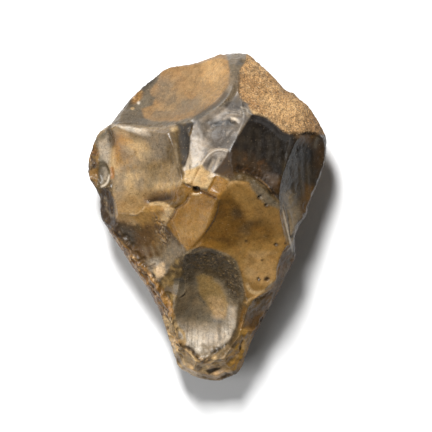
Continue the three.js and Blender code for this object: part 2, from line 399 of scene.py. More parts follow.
def shapeEdges(top):
    crushed = [(-42, -4), (-35, -12), (-29, -20), (-23, -30), (-18.5, -39), (-16, -47), (-13.5, -56),
               (-11.5, -61)]
    band = [(-42, -3), (-38, -3), (-28, -17), (-21, -27), (-16, -36), (-13, -44), (-12, -53), (-18, -53),
            (-26, -32), (-36, -14)]
    top.rough(band, 0.6, 2.4, 1.2, 61)
    top.chips(crushed, 26, 2.6, 0.7, 63)
    top.chips([(-33, -8), (-27, -18), (-20.5, -27), (-15.5, -37), (-12.5, -46)], 16, 1.8, 0.55, 65)
    top.chips([(-43, 36), (-47, 28), (-49, 18), (-44.5, 9), (-43, 1), (-40, -5)], 14, 2.4, 0.5, 67)
    top.chips([(36, -12), (33, -22), (28, -31), (23, -42), (18, -53), (14, -61)], 14, 2.0, 0.4, 69)
    top.chips([(-40, 38), (-33, 46), (-24, 57), (-14, 62), (-2, 65), (8, 67)], 12, 2.4, 0.35, 71)
    top.chips([(48, 34), (47, 22), (43, 7), (38, -5)], 9, 2.2, 0.35, 73)
    top.scoop((-42.2, 17.6), (5.6, 2.7), 105, 1.1)
    top.rough([(-44, 12), (-38, 12), (-35, -8), (-44, -2)], 0.6, 3.4, 1.0, 77)
    top.rough([(-50, 28), (-44, 30), (-44, 12), (-50, 12)], 0.55, 2.0, 1.0, 79)
    top.crease([(-40.3, 37), (-39, 31), (-39.6, 24), (-38.4, 16), (-39, 11)], 0.45, 0.6, 0.7)
    top.crease([(-44.6, 13.6), (-42, 12.2), (-40, 14.4), (-39.6, 18)], -0.3, 0.5, 0.5)


def shapePoint(top):
    shoulder = [(-19, -45), (-13, -49.6), (-9.6, -52), (-5, -55), (-1, -58), (3, -55.4), (8.5, -51.5),
                (12.6, -45), (21, -45), (16, -58), (12.6, -63.6), (4.5, -66.8), (-4.8, -65), (-12, -61),
                (-15.4, -52)]
    top.flatten(shoulder, shoulder[1:8], 0.45, 1.4, 2.0)
    flank = [(-43, -2), (-36, -2), (-29, -14), (-21, -24.6), (-15, -34), (-12.6, -44), (-18, -47),
             (-26.6, -28), (-34, -16)]
    top.flatten(flank, flank[1:6], 0.4, 1.4, 1.8)
    # hollow above the point
    top.swell((0, -42), (9, 9), 90, -2.3)
    top.ripples((2, -14), (0, -46), (10, 10), 90, 0.035, 3.4, 81)
    top.rough([(-9, -14), (8, -14), (15, -24), (14, -36), (9, -30), (5, -22), (-4, -21), (-10, -24)],
              0.22, 1.6, 1.5, 83)
    # broken edge between it and the point
    for x in (-8, -4.5, -1, 3, 7):
        top.crease([(x, -50.5), (x * 1.1, -55.5)], 0.22, 0.45, 0.45, 0.3)
    top.crease([(-12.5, -53), (-9, -52.6), (-6, -54.2), (-3.4, -57.6), (-1, -59.3), (0.8, -57.6),
                (2.4, -56), (6.4, -53.4)], 0.6, 0.45, 0.6)
    top.crease([(-10, -51.6), (-6, -53), (-3.6, -56.2), (-1, -57.9), (1.6, -55.4), (5, -53)],
               -0.2, 0.4, 0.45)
    top.chips([(-12, -52.6), (-8, -52.2), (-4.6, -55), (-1.6, -58), (1.8, -55.6), (6, -52.8)],
              9, 1.5, 0.45, 86)
    top.chips([(-12, -58), (-6, -61), (0, -62), (7, -60), (12, -57)], 9, 2.6, 0.5, 87)
    top.scoop((1, -58.5), (2.2, 1.5), 10, 1.0)
    top.scoop((4.2, -62.6), (4.6, 1.7), 12, 1.3, 0.3)   # notch in the very tip
    top.scoop((-9.5, -57), (3.4, 4.2), 60, 0.6)
    top.rough([(-14, -51), (12, -51), (18, -60), (5, -69), (-12, -64)], 0.45, 2.6, 1.0, 85)
    top.crease([(14.6, -36), (17.5, -33.8), (21, -32), (25.5, -29.6)], -0.4, 0.6, 0.8)
    top.crease([(13.4, -45), (15, -49), (14, -56)], 0.35, 0.6, 0.6)
    top.swell((21, -40), (3, 8), 70, -0.5)


def shapeRight(top):
    top.crease([(31, 6), (32.4, 0), (33.4, -7), (34.2, -13.5)], -0.45, 0.5, 0.6)
    top.crease([(32.6, 4), (34, -2), (34.6, -9)], 0.35, 0.6, 0.5)
    for x, lean in ((31.5, 1.2), (34, 1.6), (36.8, 1.4), (39.5, 1.2), (42.5, 0.6)):
        top.crease([(x, 31), (x + lean * 0.4, 20), (x + lean, 6)], 0.16, 0.8, 1.1, 0.3)
    top.swell((21, 30), (8, 10), 60, -0.5)
    top.ripples((20, 44), (20, 27), (10, 12), 60, 0.025, 4.6, 91)


def shapeTop(top):
    top.rise += top.upper * (0.16 * layered(top.place, 9, 3) + 0.05 * layered(top.place, 2.4, 7, 2))
    shapeButt(top)
    shapeCrest(top)
    shapeCentre(top)
    shapeLeft(top)
    shapeEdges(top)
    shapePoint(top)
    shapeRight(top)
    top.carve()


def shapeRim(mesh):
    # the edge all round is nibbled, never pushed outwards
    rim = Surface(mesh)
    steep = soften(0.8, 0.4, np.abs(rim.normal[:, 2]))
    broad = np.maximum(layered(rim.place, 4.2, 111) + 0.1, 0) * 0.9
    fine = np.abs(layered(rim.place, 1.9, 113, 2)) * 0.45
    rim.rise = -steep * (broad + fine)
    rim.carve()


def shapeUnderside(mesh):
    under = Surface(mesh)
    lower = 1 - under.upper
    under.rise = lower * (0.22 * layered(under.place, 11, 101) + 0.06 * layered(under.place, 3, 104, 2))
    under.carve()


def thinnedUnderside(mesh):
    # fewer faces below, where nothing is this fine, so that the whole piece stays light enough
    up = normals(mesh)[:, 2]
    below = np.nonzero(up < -0.15)[0]
    triangles = sum(len(p.vertices) - 2 for p in mesh.polygons)
    print("full mesh", triangles, "triangles,", len(below), "vertices below")
    light = appliedCopy(mesh, "DECIMATE", vertex_group="below", weights=[(1.0, below.tolist())],
                        ratio=skin["triangles"] / triangles)
    for vertex in light.vertices:
        vertex.co.z = max(vertex.co.z, 0)   # nothing sinks into the ground
    return light


patina = (0.905, 0.88, 0.80)   # warms and darkens every stain alike
palette = {   # base colours, linear
    "jet": (0.005, 0.003, 0.001), "mouse": (0.125, 0.100, 0.076), "tan": (0.29, 0.195, 0.10),
    "tanLight": (0.33, 0.235, 0.13), "gold": (0.40, 0.26, 0.12), "buff": (0.155, 0.108, 0.058),
    "cream": (0.34, 0.24, 0.127), "ochre": (0.20, 0.102, 0.022), "orange": (0.19, 0.078, 0.016),
    "honey": (0.150, 0.075, 0.013), "honeyLight": (0.200, 0.112, 0.032), "amber": (0.24, 0.135, 0.032),
    "brown": (0.085, 0.041, 0.007), "brownDeep": (0.058, 0.029, 0.007), "umber": (0.028, 0.016, 0.007),
    "beige": (0.255, 0.155, 0.062), "tawny": (0.155, 0.088, 0.028), "olive": (0.062, 0.040, 0.016),
    "oliveLight": (0.20, 0.132, 0.052), "moss": (0.055, 0.036, 0.016), "black": (0.008, 0.006, 0.005),
    "soot": (0.020, 0.015, 0.010), "slate": (0.095, 0.078, 0.056), "stone": (0.155, 0.118, 0.075),
    # silver and pearl: pale grey patina, and where they lie on glossy facets partly painted sheen
    "smoke": (0.050, 0.037, 0.022), "plum": (0.030, 0.020, 0.014), "silver": (0.31, 0.265, 0.22),
    "pearl": (0.42, 0.375, 0.33), "ash": (0.15, 0.12, 0.088), "sand": (0.245, 0.150, 0.070),
    "sandLight": (0.30, 0.19, 0.092), "sandDark": (0.145, 0.078, 0.030), "rust": (0.10, 0.042, 0.010),
    "pink": (0.48, 0.335, 0.20), "rind": (0.24, 0.178, 0.112),
    # the butt hollow and the crest, which face the sky and wash out easily
    "buttTan": (0.160, 0.094, 0.040), "buttPale": (0.205, 0.130, 0.062),
    "buttGold": (0.30, 0.19, 0.088), "buttOchre": (0.165, 0.084, 0.024),
    "buttGrey": (0.072, 0.058, 0.043), "buttStone": (0.098, 0.080, 0.058),
    "buttSmoke": (0.026, 0.021, 0.015), "buttAsh": (0.105, 0.082, 0.058),
    # crestSilver and crestPearl: grey patina of the crest, partly painted sheen; crestDark is also laid as
    # painted shade in folds, ripples and the groove
    "crestGrey": (0.12, 0.100, 0.082), "crestSilver": (0.18, 0.152, 0.130),
    "crestPearl": (0.24, 0.205, 0.175), "crestSlate": (0.050, 0.041, 0.034),
    "crestDark": (0.012, 0.010, 0.008),
}


class Coat(Surface):
    # lays colour and finish on the vertices
    def __init__(self, mesh):
        super().__init__(mesh)
        self.upper = soften(-0.25, 0.05, self.normal[:, 2])
        self.colour = np.zeros((len(self.place), 3))
        self.finish = {"dull": np.full(len(self.place), 0.32), "crust": np.zeros(len(self.place)),
                       "speck": np.full(len(self.place), 0.35)}
        self.stray = layered(self.place, 3.2, 201)
        self.sharpness = self.convexity()
        self.finish["dull"] += 0.42 * soften(0.6, 0.25, self.normal[:, 2])

    def convexity(self):
        # how far each vertex stands out from its neighbours: positive on ridges, negative in creases
        count = len(self.place)
        ends = np.empty(len(self.mesh.edges) * 2, np.int64)
        self.mesh.edges.foreach_get("vertices", ends)
        a, b = ends.reshape(-1, 2).T
        valence = np.bincount(a, minlength=count) + np.bincount(b, minlength=count)
        bend = np.zeros(count)
        for axis in range(3):
            flow = self.place[b, axis] - self.place[a, axis]
            pull = np.bincount(a, flow, count) - np.bincount(b, flow, count)
            bend -= pull / valence * self.normal[:, axis]
        for _ in range(2):
            bend = (bend + (np.bincount(a, bend[b], count) + np.bincount(b, bend[a], count)) / valence) / 2
        return bend

    def lay(self, some, mask, colour, finish):
        mask = mask * self.upper[some]
        if colour:
            self.colour[some] += (np.array(palette[colour]) - self.colour[some]) * mask[:, None]
        for name, value in finish.items():
            self.finish[name][some] += (value - self.finish[name][some]) * mask

    def wash(self, colour, points, soft=1.0, amount=1.0, ragged=0.7, **finish):
        some, depth = self.insideOutline(points, soft + ragged * 1.5)
        mask = soften(-soft, soft, depth + ragged * self.stray[some] * 1.5)
        self.lay(some, amount * mask, colour, finish)

    def cloud(self, colour, points, soft, amount, size, seed, cover=0.5, **finish):
        # patches with gaps between them
        some, depth = self.insideOutline(points, soft)
        patches = soften(0.35 - cover, 0.85 - cover, layered(self.place[some], size, seed))
        self.lay(some, amount * soften(-soft, soft, depth) * patches, colour, finish)

    def clouds(self, points, soft, layers):
        # one over the other: colour, amount, size, seed, cover
        for colour, *patches in layers:
            self.cloud(colour, points, soft, *patches)

    def stroke(self, colour, points, width, soft=0.5, amount=1.0, ragged=0.2, taper=0.12, **finish):
        some, off, _, along = self.besideLine(points, width + soft + ragged)
        mask = soften(width / 2 + soft, width / 2 - soft * 0.5, off + ragged * self.stray[some])
        self.lay(some, amount * mask * self.ends(along, taper), colour, finish)

    def shade(self, colour, points, left, right, amount=1.0, taper=0.12, **finish):
        # strongest at the line, fading off to its own width on each side
        some, off, side, along = self.besideLine(points, max(left, right) * 1.8)
        mask = np.exp(-((off / np.where(side > 0, left, right)) ** 2))
        self.lay(some, amount * mask * self.ends(along, taper), colour, finish)

    def spot(self, colour, at, radii, turn=0, soft=0.4, amount=1.0, **finish):
        some, u, v = self.bowl(at, radii, turn, 1.8)
        reach = np.sqrt(u * u + v * v) + 0.15 * self.stray[some]
        self.lay(some, amount * soften(1 + soft, 1 - soft, reach), colour, finish)

    def tint(self, colour, mask):
        # all over, upper and lower face alike
        self.colour += (np.array(palette[colour]) - self.colour) * mask[:, None]

    def tintByBend(self, colour, low, high, amount):
        # where the surface stands out, or sinks, from the low value to the high one
        self.tint(colour, soften(low, high, self.sharpness) * amount)

    def store(self):
        finish = np.stack(list(self.finish.values()), axis=1)
        for name, values in (("stain", self.colour), ("finish", finish)):
            layer = self.mesh.color_attributes.new(name, "FLOAT_COLOR", "POINT")
            layer.data.foreach_set("color", np.hstack([values, np.ones((len(values), 1))]).ravel())


def stainUnderside(coat):
    # the face it lies on: grey-brown flint with tan patches and rind left on the butt
    place = coat.place
    tones = {
        "stone": np.ones(len(place)),
        "buff": soften(-0.15, 0.35, layered(place, 16, 301)),
        "smoke": soften(0.1, 0.55, layered(place, 12, 303)),
        "tawny": 0.7 * soften(0.15, 0.6, layered(place, 7, 305)),
    }
    rind = soften(-3, 3, place[:, 1] * 0.75 + place[:, 0] * 0.55 - 40 + 4 * layered(place, 8, 307))
    for colour, mask in tones.items():
        coat.tint(colour, mask)
    coat.tint("sand", 0.9 * rind)
    coat.finish["crust"] = np.maximum(coat.finish["crust"], 0.8 * rind)
    coat.finish["dull"] += 0.25 * rind
    coat.finish["speck"] += 0.2


def stainButt(coat):
    hollow = [(-41, 38), (-30, 37.4), (-22, 36.2), (-10, 38), (-5, 39.3), (0, 42), (6, 46), (9, 50),
              (11.4, 55), (13.2, 62), (13, 69), (-6, 69), (-22, 63), (-35, 49)]
    coat.wash("buttGrey", hollow, 0.8, dull=0.32, crust=0)
    coat.cloud("buttStone", hollow, 0.8, 0.7, 7, 401, 0.5)
    coat.wash("buttSmoke", [(-34, 45), (-30, 46), (-24, 53), (-20, 60), (-24, 60), (-34, 50)], 1.5, 0.6)
    coat.wash("crestDark", [(-27.4, 53), (-23, 54.4), (-18.8, 60), (-22, 62), (-30, 56)], 1.2, 0.75)
    coat.wash("buttTan", [(-18.6, 61), (-20.3, 56.5), (-23.2, 51.9), (-22.8, 49.8), (-21, 49),
                          (-22.5, 46), (-26.5, 44.4), (-25.3, 40.6), (-20.7, 39.2), (-12.3, 39.6),
                          (-6.1, 40.9), (1.5, 44), (6.5, 48.5), (9.2, 54), (9.2, 60.3), (8.2, 65),
                          (8, 71), (-18, 71)], 0.7, 1, 0.35, dull=0.5)
    coat.cloud("buttStone", [(-24, 40), (0, 43), (4, 50), (-2, 55), (-20, 57)], 3, 0.6, 9, 403, 0.5)
    coat.cloud("buttPale", [(-20, 39), (4, 46), (9, 56), (6, 66), (-14, 63)], 3, 0.55, 6, 405, 0.45)
    coat.wash("buttPale", [(-4, 46), (3, 46), (8, 50), (8.6, 57), (4, 58), (-3, 54)], 3, 0.7)
    coat.wash("buttGold", [(-3, 56), (4, 55), (8, 60), (6, 65), (-1, 64.5)], 2.5, 0.75, speck=0.8)
    coat.wash("buttOchre", [(-16, 61), (-18, 58), (-13, 58), (-6, 62.5)], 2, 0.45)
    coat.wash("buttPale", [(-22, 44), (-14, 43.5), (-13, 45), (-21, 46)], 1.2, 0.6)
    coat.wash("buttStone", [(-10, 46), (-4, 46), (-3, 48.5), (-11, 48)], 1.5, 0.5)
    coat.spot("buttOchre", (-28.8, 49.5), (1.8, 3), -35, 0.5, 0.8)
    nick = [(-31.6, 47), (-29, 46), (-26, 51), (-28, 53)]
    coat.clouds(nick, 0.6, [("crestDark", 0.8, 1.0, 415, 0.2), ("gold", 0.8, 0.9, 417, 0.1)])
    coat.spot("pearl", (-28, 47), (0.6, 0.6), 0, 0.4, 0.7)
    coat.spot("cream", (-30.5, 44.6), (0.8, 0.6), 0, 0.4, 0.6)
    band = [(10, 68), (10.5, 60), (9.5, 54), (7, 49), (11, 47.5), (14, 48.5), (13.6, 60), (16, 64),
            (17, 69)]
    coat.wash("buttAsh", band, 0.9, 0.9, 0.3, dull=0.34, crust=0)
    coat.stroke("buttGrey", [(12.6, 64), (12.2, 58), (12.9, 52)], 1.6, 0.6, 0.6)
    coat.wash("buttSmoke", [(12, 62), (15, 63), (14.6, 65.6), (12.5, 65)], 0.8, 0.7)
    coat.stroke("buttStone", [(8.6, 66.4), (11.5, 66.4), (15, 66.9)], 1.2, 0.5, 0.6)
    cortex = [(13.4, 48), (13.4, 60), (15.6, 63), (16.6, 69), (27, 63), (35, 54), (44, 48), (52, 38),
              (50, 33.3), (34, 33.3), (31, 34.6), (28, 37.4), (24, 40.6), (18.5, 42.1), (15, 45.5)]
    coat.wash("sand", cortex, 0.35, 1, 0.3, dull=0.75, crust=1, speck=0.08)
    coat.clouds(cortex, 0.5, [("sandLight", 0.75, 5, 411, 0.4), ("sandDark", 0.6, 6, 413, 0.42)])
    coat.wash("sandLight", [(22, 50), (26, 52), (33, 44), (29, 40), (24, 43)], 2, 0.8)
    coat.wash("sandDark", [(14, 49), (17, 50), (23, 45), (21, 42.6), (15, 45)], 1.4, 0.7)
    coat.wash("sandDark", [(40, 34), (39, 38), (42, 42), (45, 46), (52, 38), (50, 33)], 3, 0.75)
    coat.wash("sandDark", [(13, 48), (13.4, 58), (17, 58), (20, 52), (17, 46)], 2, 0.4)
    coat.stroke("cream", [(15, 45.2), (18.8, 43), (23.6, 41), (27.8, 38.2)], 1.0, 0.5, 0.5)
    coat.shade("brownDeep", [(35, 34), (42, 34), (48.5, 34.4)], 0.9, 0.5, 0.6)
    coat.shade("brownDeep", [(18, 67.6), (25.5, 62), (33, 52.4), (42, 46.6), (47, 38)], 0.9, 1.4, 0.55)


def stainCrest(coat):
    crest = [(-5, 37.5), (-4.4, 39.4), (0, 41.8), (6, 45.6), (12, 49), (16, 46.4), (18.4, 42.4), (15, 37),
             (11, 31), (8.5, 27), (4, 22), (2, 19), (-3, 20), (-9.6, 19), (-9.2, 21), (-7.6, 26),
             (-7.2, 31)]
    coat.wash("crestGrey", crest, 0.5, 1, 0.2, dull=0.5, speck=0.3, crust=0)
    # crest facet: grey patina, partly painted sheen, brightest at its lower left where it mirrors the light
    coat.cloud("crestSilver", crest, 0.6, 0.9, 5, 421, 0.5)
    coat.wash("crestPearl", [(-7.2, 33), (-3, 33), (-1, 27), (-2.5, 21), (-6, 19), (-9.4, 19)],
              1.2, 1, 0.3, dull=0.45)
    coat.wash("silver", [(-8.6, 24), (-4, 24.6), (-2, 21), (-3, 19.6), (-9.6, 18.6)], 1.2, 0.8)
    coat.wash("crestSlate", [(2, 36), (6, 36.6), (12, 36), (13, 33), (9.5, 28), (4, 25.6), (2, 29)],
              1.6, 1, 0.5)
    coat.wash("crestSlate", [(-2, 24), (2, 26), (5, 24), (3, 20), (-1, 20)], 1.4, 0.4)
    coat.wash("crestSlate", [(-5, 38.6), (2, 41.4), (3, 38.6), (-3, 36.4)], 1.2, 0.7)
    # painted shade along the fold across the facet, with a painted glint just above it
    coat.shade("crestDark", [(-1.4, 35.4), (2.4, 37.4), (6.3, 38.3), (10.4, 37.9), (13, 36.4)],
               2.6, 1.5, 0.95, 0.3)
    coat.stroke("crestDark", [(2, 37.3), (6.3, 38.5), (10.4, 38.2)], 1.0, 0.7, 0.7)
    coat.stroke("pearl", [(9.4, 40.5), (11, 40.3), (12.4, 39.5), (13.2, 38.4)], 0.9, 0.4, 0.95, dull=0.4)
    coat.stroke("crestDark", [(2.6, 37.6), (6.3, 38.9), (9.6, 39.2), (12, 38.2)], 1.0, 0.6, 0.75)
    # painted sheen on the rippled top of the facet, and painted shade and highlight along each ripple
    coat.wash("crestSilver", [(3, 41.6), (9, 43.6), (9, 41), (4, 39.8)], 0.9, 0.8)
    coat.stroke("crestSilver", [(10, 43.2), (14.5, 42.6), (17.4, 41.8)], 1.2, 0.7, 0.8)
    coat.wash("crestSlate", [(5, 45.6), (12, 49), (17.4, 46.4), (15, 43.8), (8, 44.2)], 0.9, 1, dull=0.6)
    for bend in (0, 1.1, 2.2, 3.3):
        coat.stroke("crestDark", [(8 + bend * 0.5, 42.8 + bend), (12, 42.6 + bend * 0.8),
                                  (16.4, 41.4 + bend * 0.6)], 0.4, 0.35, 0.7)
        coat.stroke("pearl", [(13.4, 42.8 + bend * 0.7), (17, 41.8 + bend * 0.6)], 0.4, 0.4, 0.5)
    coat.wash("crestSlate", [(12, 40.8), (15.6, 42), (17.4, 41), (14.6, 37.4), (12.6, 38.6)], 0.8, 0.7)
    coat.wash("crestDark", [(-8.6, 38.4), (-4.6, 38.8), (-6.4, 36.2), (-7.6, 34), (-8.6, 35)],
              0.5, 0.9, 0.1, dull=0.6)
    coat.clouds(crest, 0.6, [("crestSlate", 0.6, 2.2, 423, 0.3), ("crestPearl", 0.5, 1.4, 425, 0.15)])
    # small scar below: grey patina with painted sheen, painted shade and highlight in vertical stripes, and
    # a painted highlight along its rim
    coat.wash("crestSilver", [(-3, 20.2), (0.8, 25), (3.7, 26.9), (8.4, 26.8), (9, 24), (6, 20),
                              (3.6, 17.6), (0, 18)], 0.5, 0.9, 0.2, dull=0.45)
    coat.stroke("crestSlate", [(-1, 20.4), (1.6, 23.6), (4.4, 25.4)], 1.6, 0.6, 0.6)
    coat.stroke("crestDark", [(5.6, 22.5), (7.6, 24)], 1.2, 0.5, 0.6)
    for x in (0.6, 2.8, 5):
        coat.stroke("crestDark", [(x + 1.2, 25.4 - abs(x - 4) * 0.5), (x, 21.4), (x - 0.8, 18.6)],
                    0.6, 0.6, 0.4)
        coat.stroke("silver", [(x + 2.4, 25.4 - abs(x - 3) * 0.5), (x + 1.2, 21.4), (x + 0.4, 18.6)],
                    0.7, 0.6, 0.4)
    coat.stroke("crestPearl", [(-3, 20.3), (-1, 23.6), (0.9, 25.7), (3.7, 27.5), (8.3, 27.2), (9, 25.2)],
                0.8, 0.35, 1, dull=0.4)
    # the groove: partly dark stone, partly painted shade where it faces away from the light
    groove = [(-12.4, 38), (-8.4, 38.3), (-7.2, 34), (-7.6, 27), (-9.4, 21), (-11.2, 19.8), (-12.6, 28)]
    coat.wash("olive", groove, 0.8, 1, 0.2, dull=0.7)
    coat.wash("crestDark", [(-11.6, 38), (-8, 38), (-7, 33), (-7.6, 26), (-9.2, 21), (-10.4, 22),
                            (-11.2, 30)], 0.9, 0.95, dull=0.75)
    coat.stroke("crestSlate", [(-11, 35), (-10.6, 29), (-10, 23)], 1.2, 0.8, 0.4)
    coat.stroke("crestDark", [(-7.2, 34), (-7.6, 28), (-8.8, 23)], 0.8, 0.5, 0.9)
    coat.stroke("buttSmoke", [(-6.4, 39), (-2.4, 41.8), (2.6, 45.2), (6.6, 49), (9, 53)],
                1.8, 0.8, 0.75, dull=0.75)
    coat.stroke("buttAsh", [(8, 50.4), (9.6, 54), (10.4, 58)], 1.6, 0.8, 0.5, dull=0.8)
    coat.stroke("buttGrey", [(11.4, 46.4), (13, 48.6), (13.2, 51)], 1.4, 0.8, 0.5, dull=0.8)
    coat.stroke("buttStone", [(-1, 42.2), (4, 44.6), (8, 46.8), (11.6, 48.6)], 0.5, 0.4, 0.7)
    coat.stroke("olive", [(-15, 36.6), (-13.8, 33), (-12.6, 28), (-11.4, 21), (-10.2, 16)],
                1.7, 0.6, 0.8, dull=0.9)
    # painted highlight along the soft ridge left of the groove
    coat.shade("stone", [(-12.8, 31), (-12.3, 26), (-11.3, 20)], 0.6, 0.7, 0.75, dull=0.8)
    coat.spot("tanLight", (-13.5, 36), (1.4, 1.0), 10, 0.7, 0.8)


def stainCentre(coat):
    middle = [(-10, 14), (-5.9, 12.4), (0, 10.4), (4.6, 8), (10, 14.6), (16, 14.4), (21, 12), (26, 6),
              (30, 4.6), (31.4, 0), (33.4, -8), (34.4, -13), (30, -15), (28.6, -25), (24.4, -30.4),
              (18, -33.6), (15.2, -31), (14.2, -22), (10, -16), (2, -13), (-6, -13), (-12, -9),
              (-16.4, -3), (-12, 3.6), (-8.4, 6.6)]
    coat.wash("honey", middle, 0.5, 1, 0.2, dull=0.32, speck=0.35)
    left = [(-8, 9), (-4, 9.4), (4.2, 7), (3.8, 2.6), (1.6, -2), (-1.4, -6.6), (-5.4, -11), (-8, -13.4),
            (-12, -8.6), (-16, -3), (-12.4, 3)]
    coat.wash("honey", left, 0.4, 1, 0.1)
    coat.cloud("honeyLight", left, 1, 0.8, 6, 431, 0.6)
    coat.wash("beige", [(-4, 3), (2, 0), (-2, -6), (-9, -9), (-13, -4), (-8, 2)], 3, 0.35)
    coat.wash("brown", [(-7, 9), (3.8, 7), (3.4, 2.6), (-2, 4), (-6, 5.6)], 2, 0.65)
    coat.wash("ochre", [(-14, 8), (-8, 10), (4, 8), (4, 1), (-6, 2), (-14, 1)], 2, 0.3)
    right = [(4.4, 9), (10, 14.8), (16, 14.4), (21, 12), (26, 6), (30.4, 4.4), (32, -4), (34, -13),
             (29.6, -16), (28.4, -25), (24.4, -30), (18, -33), (15, -30), (14.2, -22), (10, -16),
             (2, -13), (-6.4, -12.6), (-1, -7), (2.4, -2), (4.2, 3)]
    coat.wash("tawny", right, 0.35, 1, 0.1)
    coat.cloud("honeyLight", right, 1, 0.5, 7, 433, 0.4)
    coat.wash("brown", [(4.6, 9), (9, 11), (14, 4), (15, -4), (12, -13), (2, -12.6), (-3, -10), (2, -3),
                        (4.6, 3)], 2.2, 0.9)
    coat.cloud("brownDeep", [(4.6, 8), (16, 6), (18, -8), (8, -13), (0, -9)], 2, 0.75, 6, 435, 0.5)
    coat.wash("honeyLight", [(8, 13.4), (14, 14.2), (19, 11), (17.6, 8.6), (10, 10.4)], 1.5, 0.35)
    coat.stroke("beige", [(8, 13.6), (12.5, 14.4), (17, 12.6), (19.6, 10)], 1.0, 0.6, 0.6)
    coat.wash("honey", [(0, -9), (6, -10), (11, -14), (4, -13), (-3, -11.6)], 1.4, 0.7)
    coat.wash("honeyLight", [(16, -10), (26, -8), (31, -14), (28.6, -24), (24, -30), (18, -32), (15, -27),
                             (13, -18)], 2.4, 0.7)
    coat.wash("beige", [(18, -15), (27, -15), (29.4, -24), (25, -28.6), (18, -27), (15, -20)], 2.4, 0.85)
    coat.cloud("tan", [(17, -14), (28, -14), (27, -25), (19, -30), (14.6, -22)], 1.5, 0.4, 5, 437, 0.45)
    coat.wash("tawny", [(15, -25), (20, -26), (25, -29), (20, -33), (15.4, -31)], 1.6, 0.8)
    coat.cloud("brown", [(16, -8), (30, -6), (28, -18), (16, -22)], 2, 0.4, 4, 438, 0.3)
    coat.wash("brown", [(15, -2), (22, 0), (28, -4), (26, -10), (17, -10)], 2.6, 0.75)
    coat.cloud("smoke", [(8, 6), (22, 2), (24, -8), (12, -8)], 2.5, 0.5, 5, 439, 0.3)
    coat.spot("smoke", (15.2, -4.6), (3.4, 1.6), 35, 0.8, 0.5)
    coat.spot("umber", (19.4, -2.2), (2.6, 1.2), 20, 0.7, 0.4)
    coat.spot("umber", (12.6, 1.6), (1.6, 2.6), 0, 0.7, 0.45)
    for at, size in (((21.4, 8), 1.2), ((24.2, 4.8), 0.9), ((28.3, -11.2), 0.9), ((24.4, -25), 1.2),
                     ((21.2, -25.4), 0.8), ((16, -9.6), 0.7), ((22.4, -17.4), 0.6), ((32, -10.6), 0.6)):
        coat.spot("umber", at, (size, size * 0.8), 20, 0.5, 0.85)
    coat.stroke("tanLight", [(16, -26), (17.4, -29.5), (20.5, -30.8), (24.5, -29.6), (27.2, -25.4)],
                1.2, 0.6, 0.8)
    rim = [(17, 15.6), (20.6, 14), (23.6, 11.4), (26.6, 8), (30, 5), (29, 3.6), (24, 5), (21, 8.6),
           (18, 11.8)]
    coat.wash("slate", rim, 0.7, 0.85, 0.3, speck=0.7)
    coat.cloud("ash", [(21, 11), (27, 8), (30.4, 5), (28, 3.4), (22.6, 6)], 0.8, 0.55, 2.4, 441, 0.45)
    # painted shadow under the broken-off edge of the black flat
    coat.shade("black", [(9, 20.6), (12.6, 19.8), (16.8, 18.1), (20.9, 16.2), (24.2, 13.4), (26.4, 9.7),
                         (29, 7.2)], 1.3, 0.8, 0.9, 0.2)
    coat.cloud("rust", [(12, 22), (17, 21.4), (24, 18.4), (29, 11), (27, 9), (23.4, 15), (17, 19)],
               0.6, 0.9, 2.2, 443, 0.5)
    crumbs = [(11, 20.6), (15, 21), (20, 20), (25, 16), (28.6, 10.4), (27.4, 9.4), (23.6, 13.6),
              (19, 17.4), (14, 18.8)]
    coat.cloud("rust", crumbs, 0.5, 0.9, 1.3, 444, 0.5, dull=0.7)
    coat.cloud("ochre", crumbs, 0.5, 0.95, 1.0, 446, 0.42, dull=0.85)
    # painted shade below the step between the two flakes
    coat.shade("brown", [(4.8, 8), (4.3, 3.3), (2.2, -1.7), (-0.7, -5.7), (-4.8, -10.5), (-7.4, -12.8)],
               1.6, 0.7, 0.6)


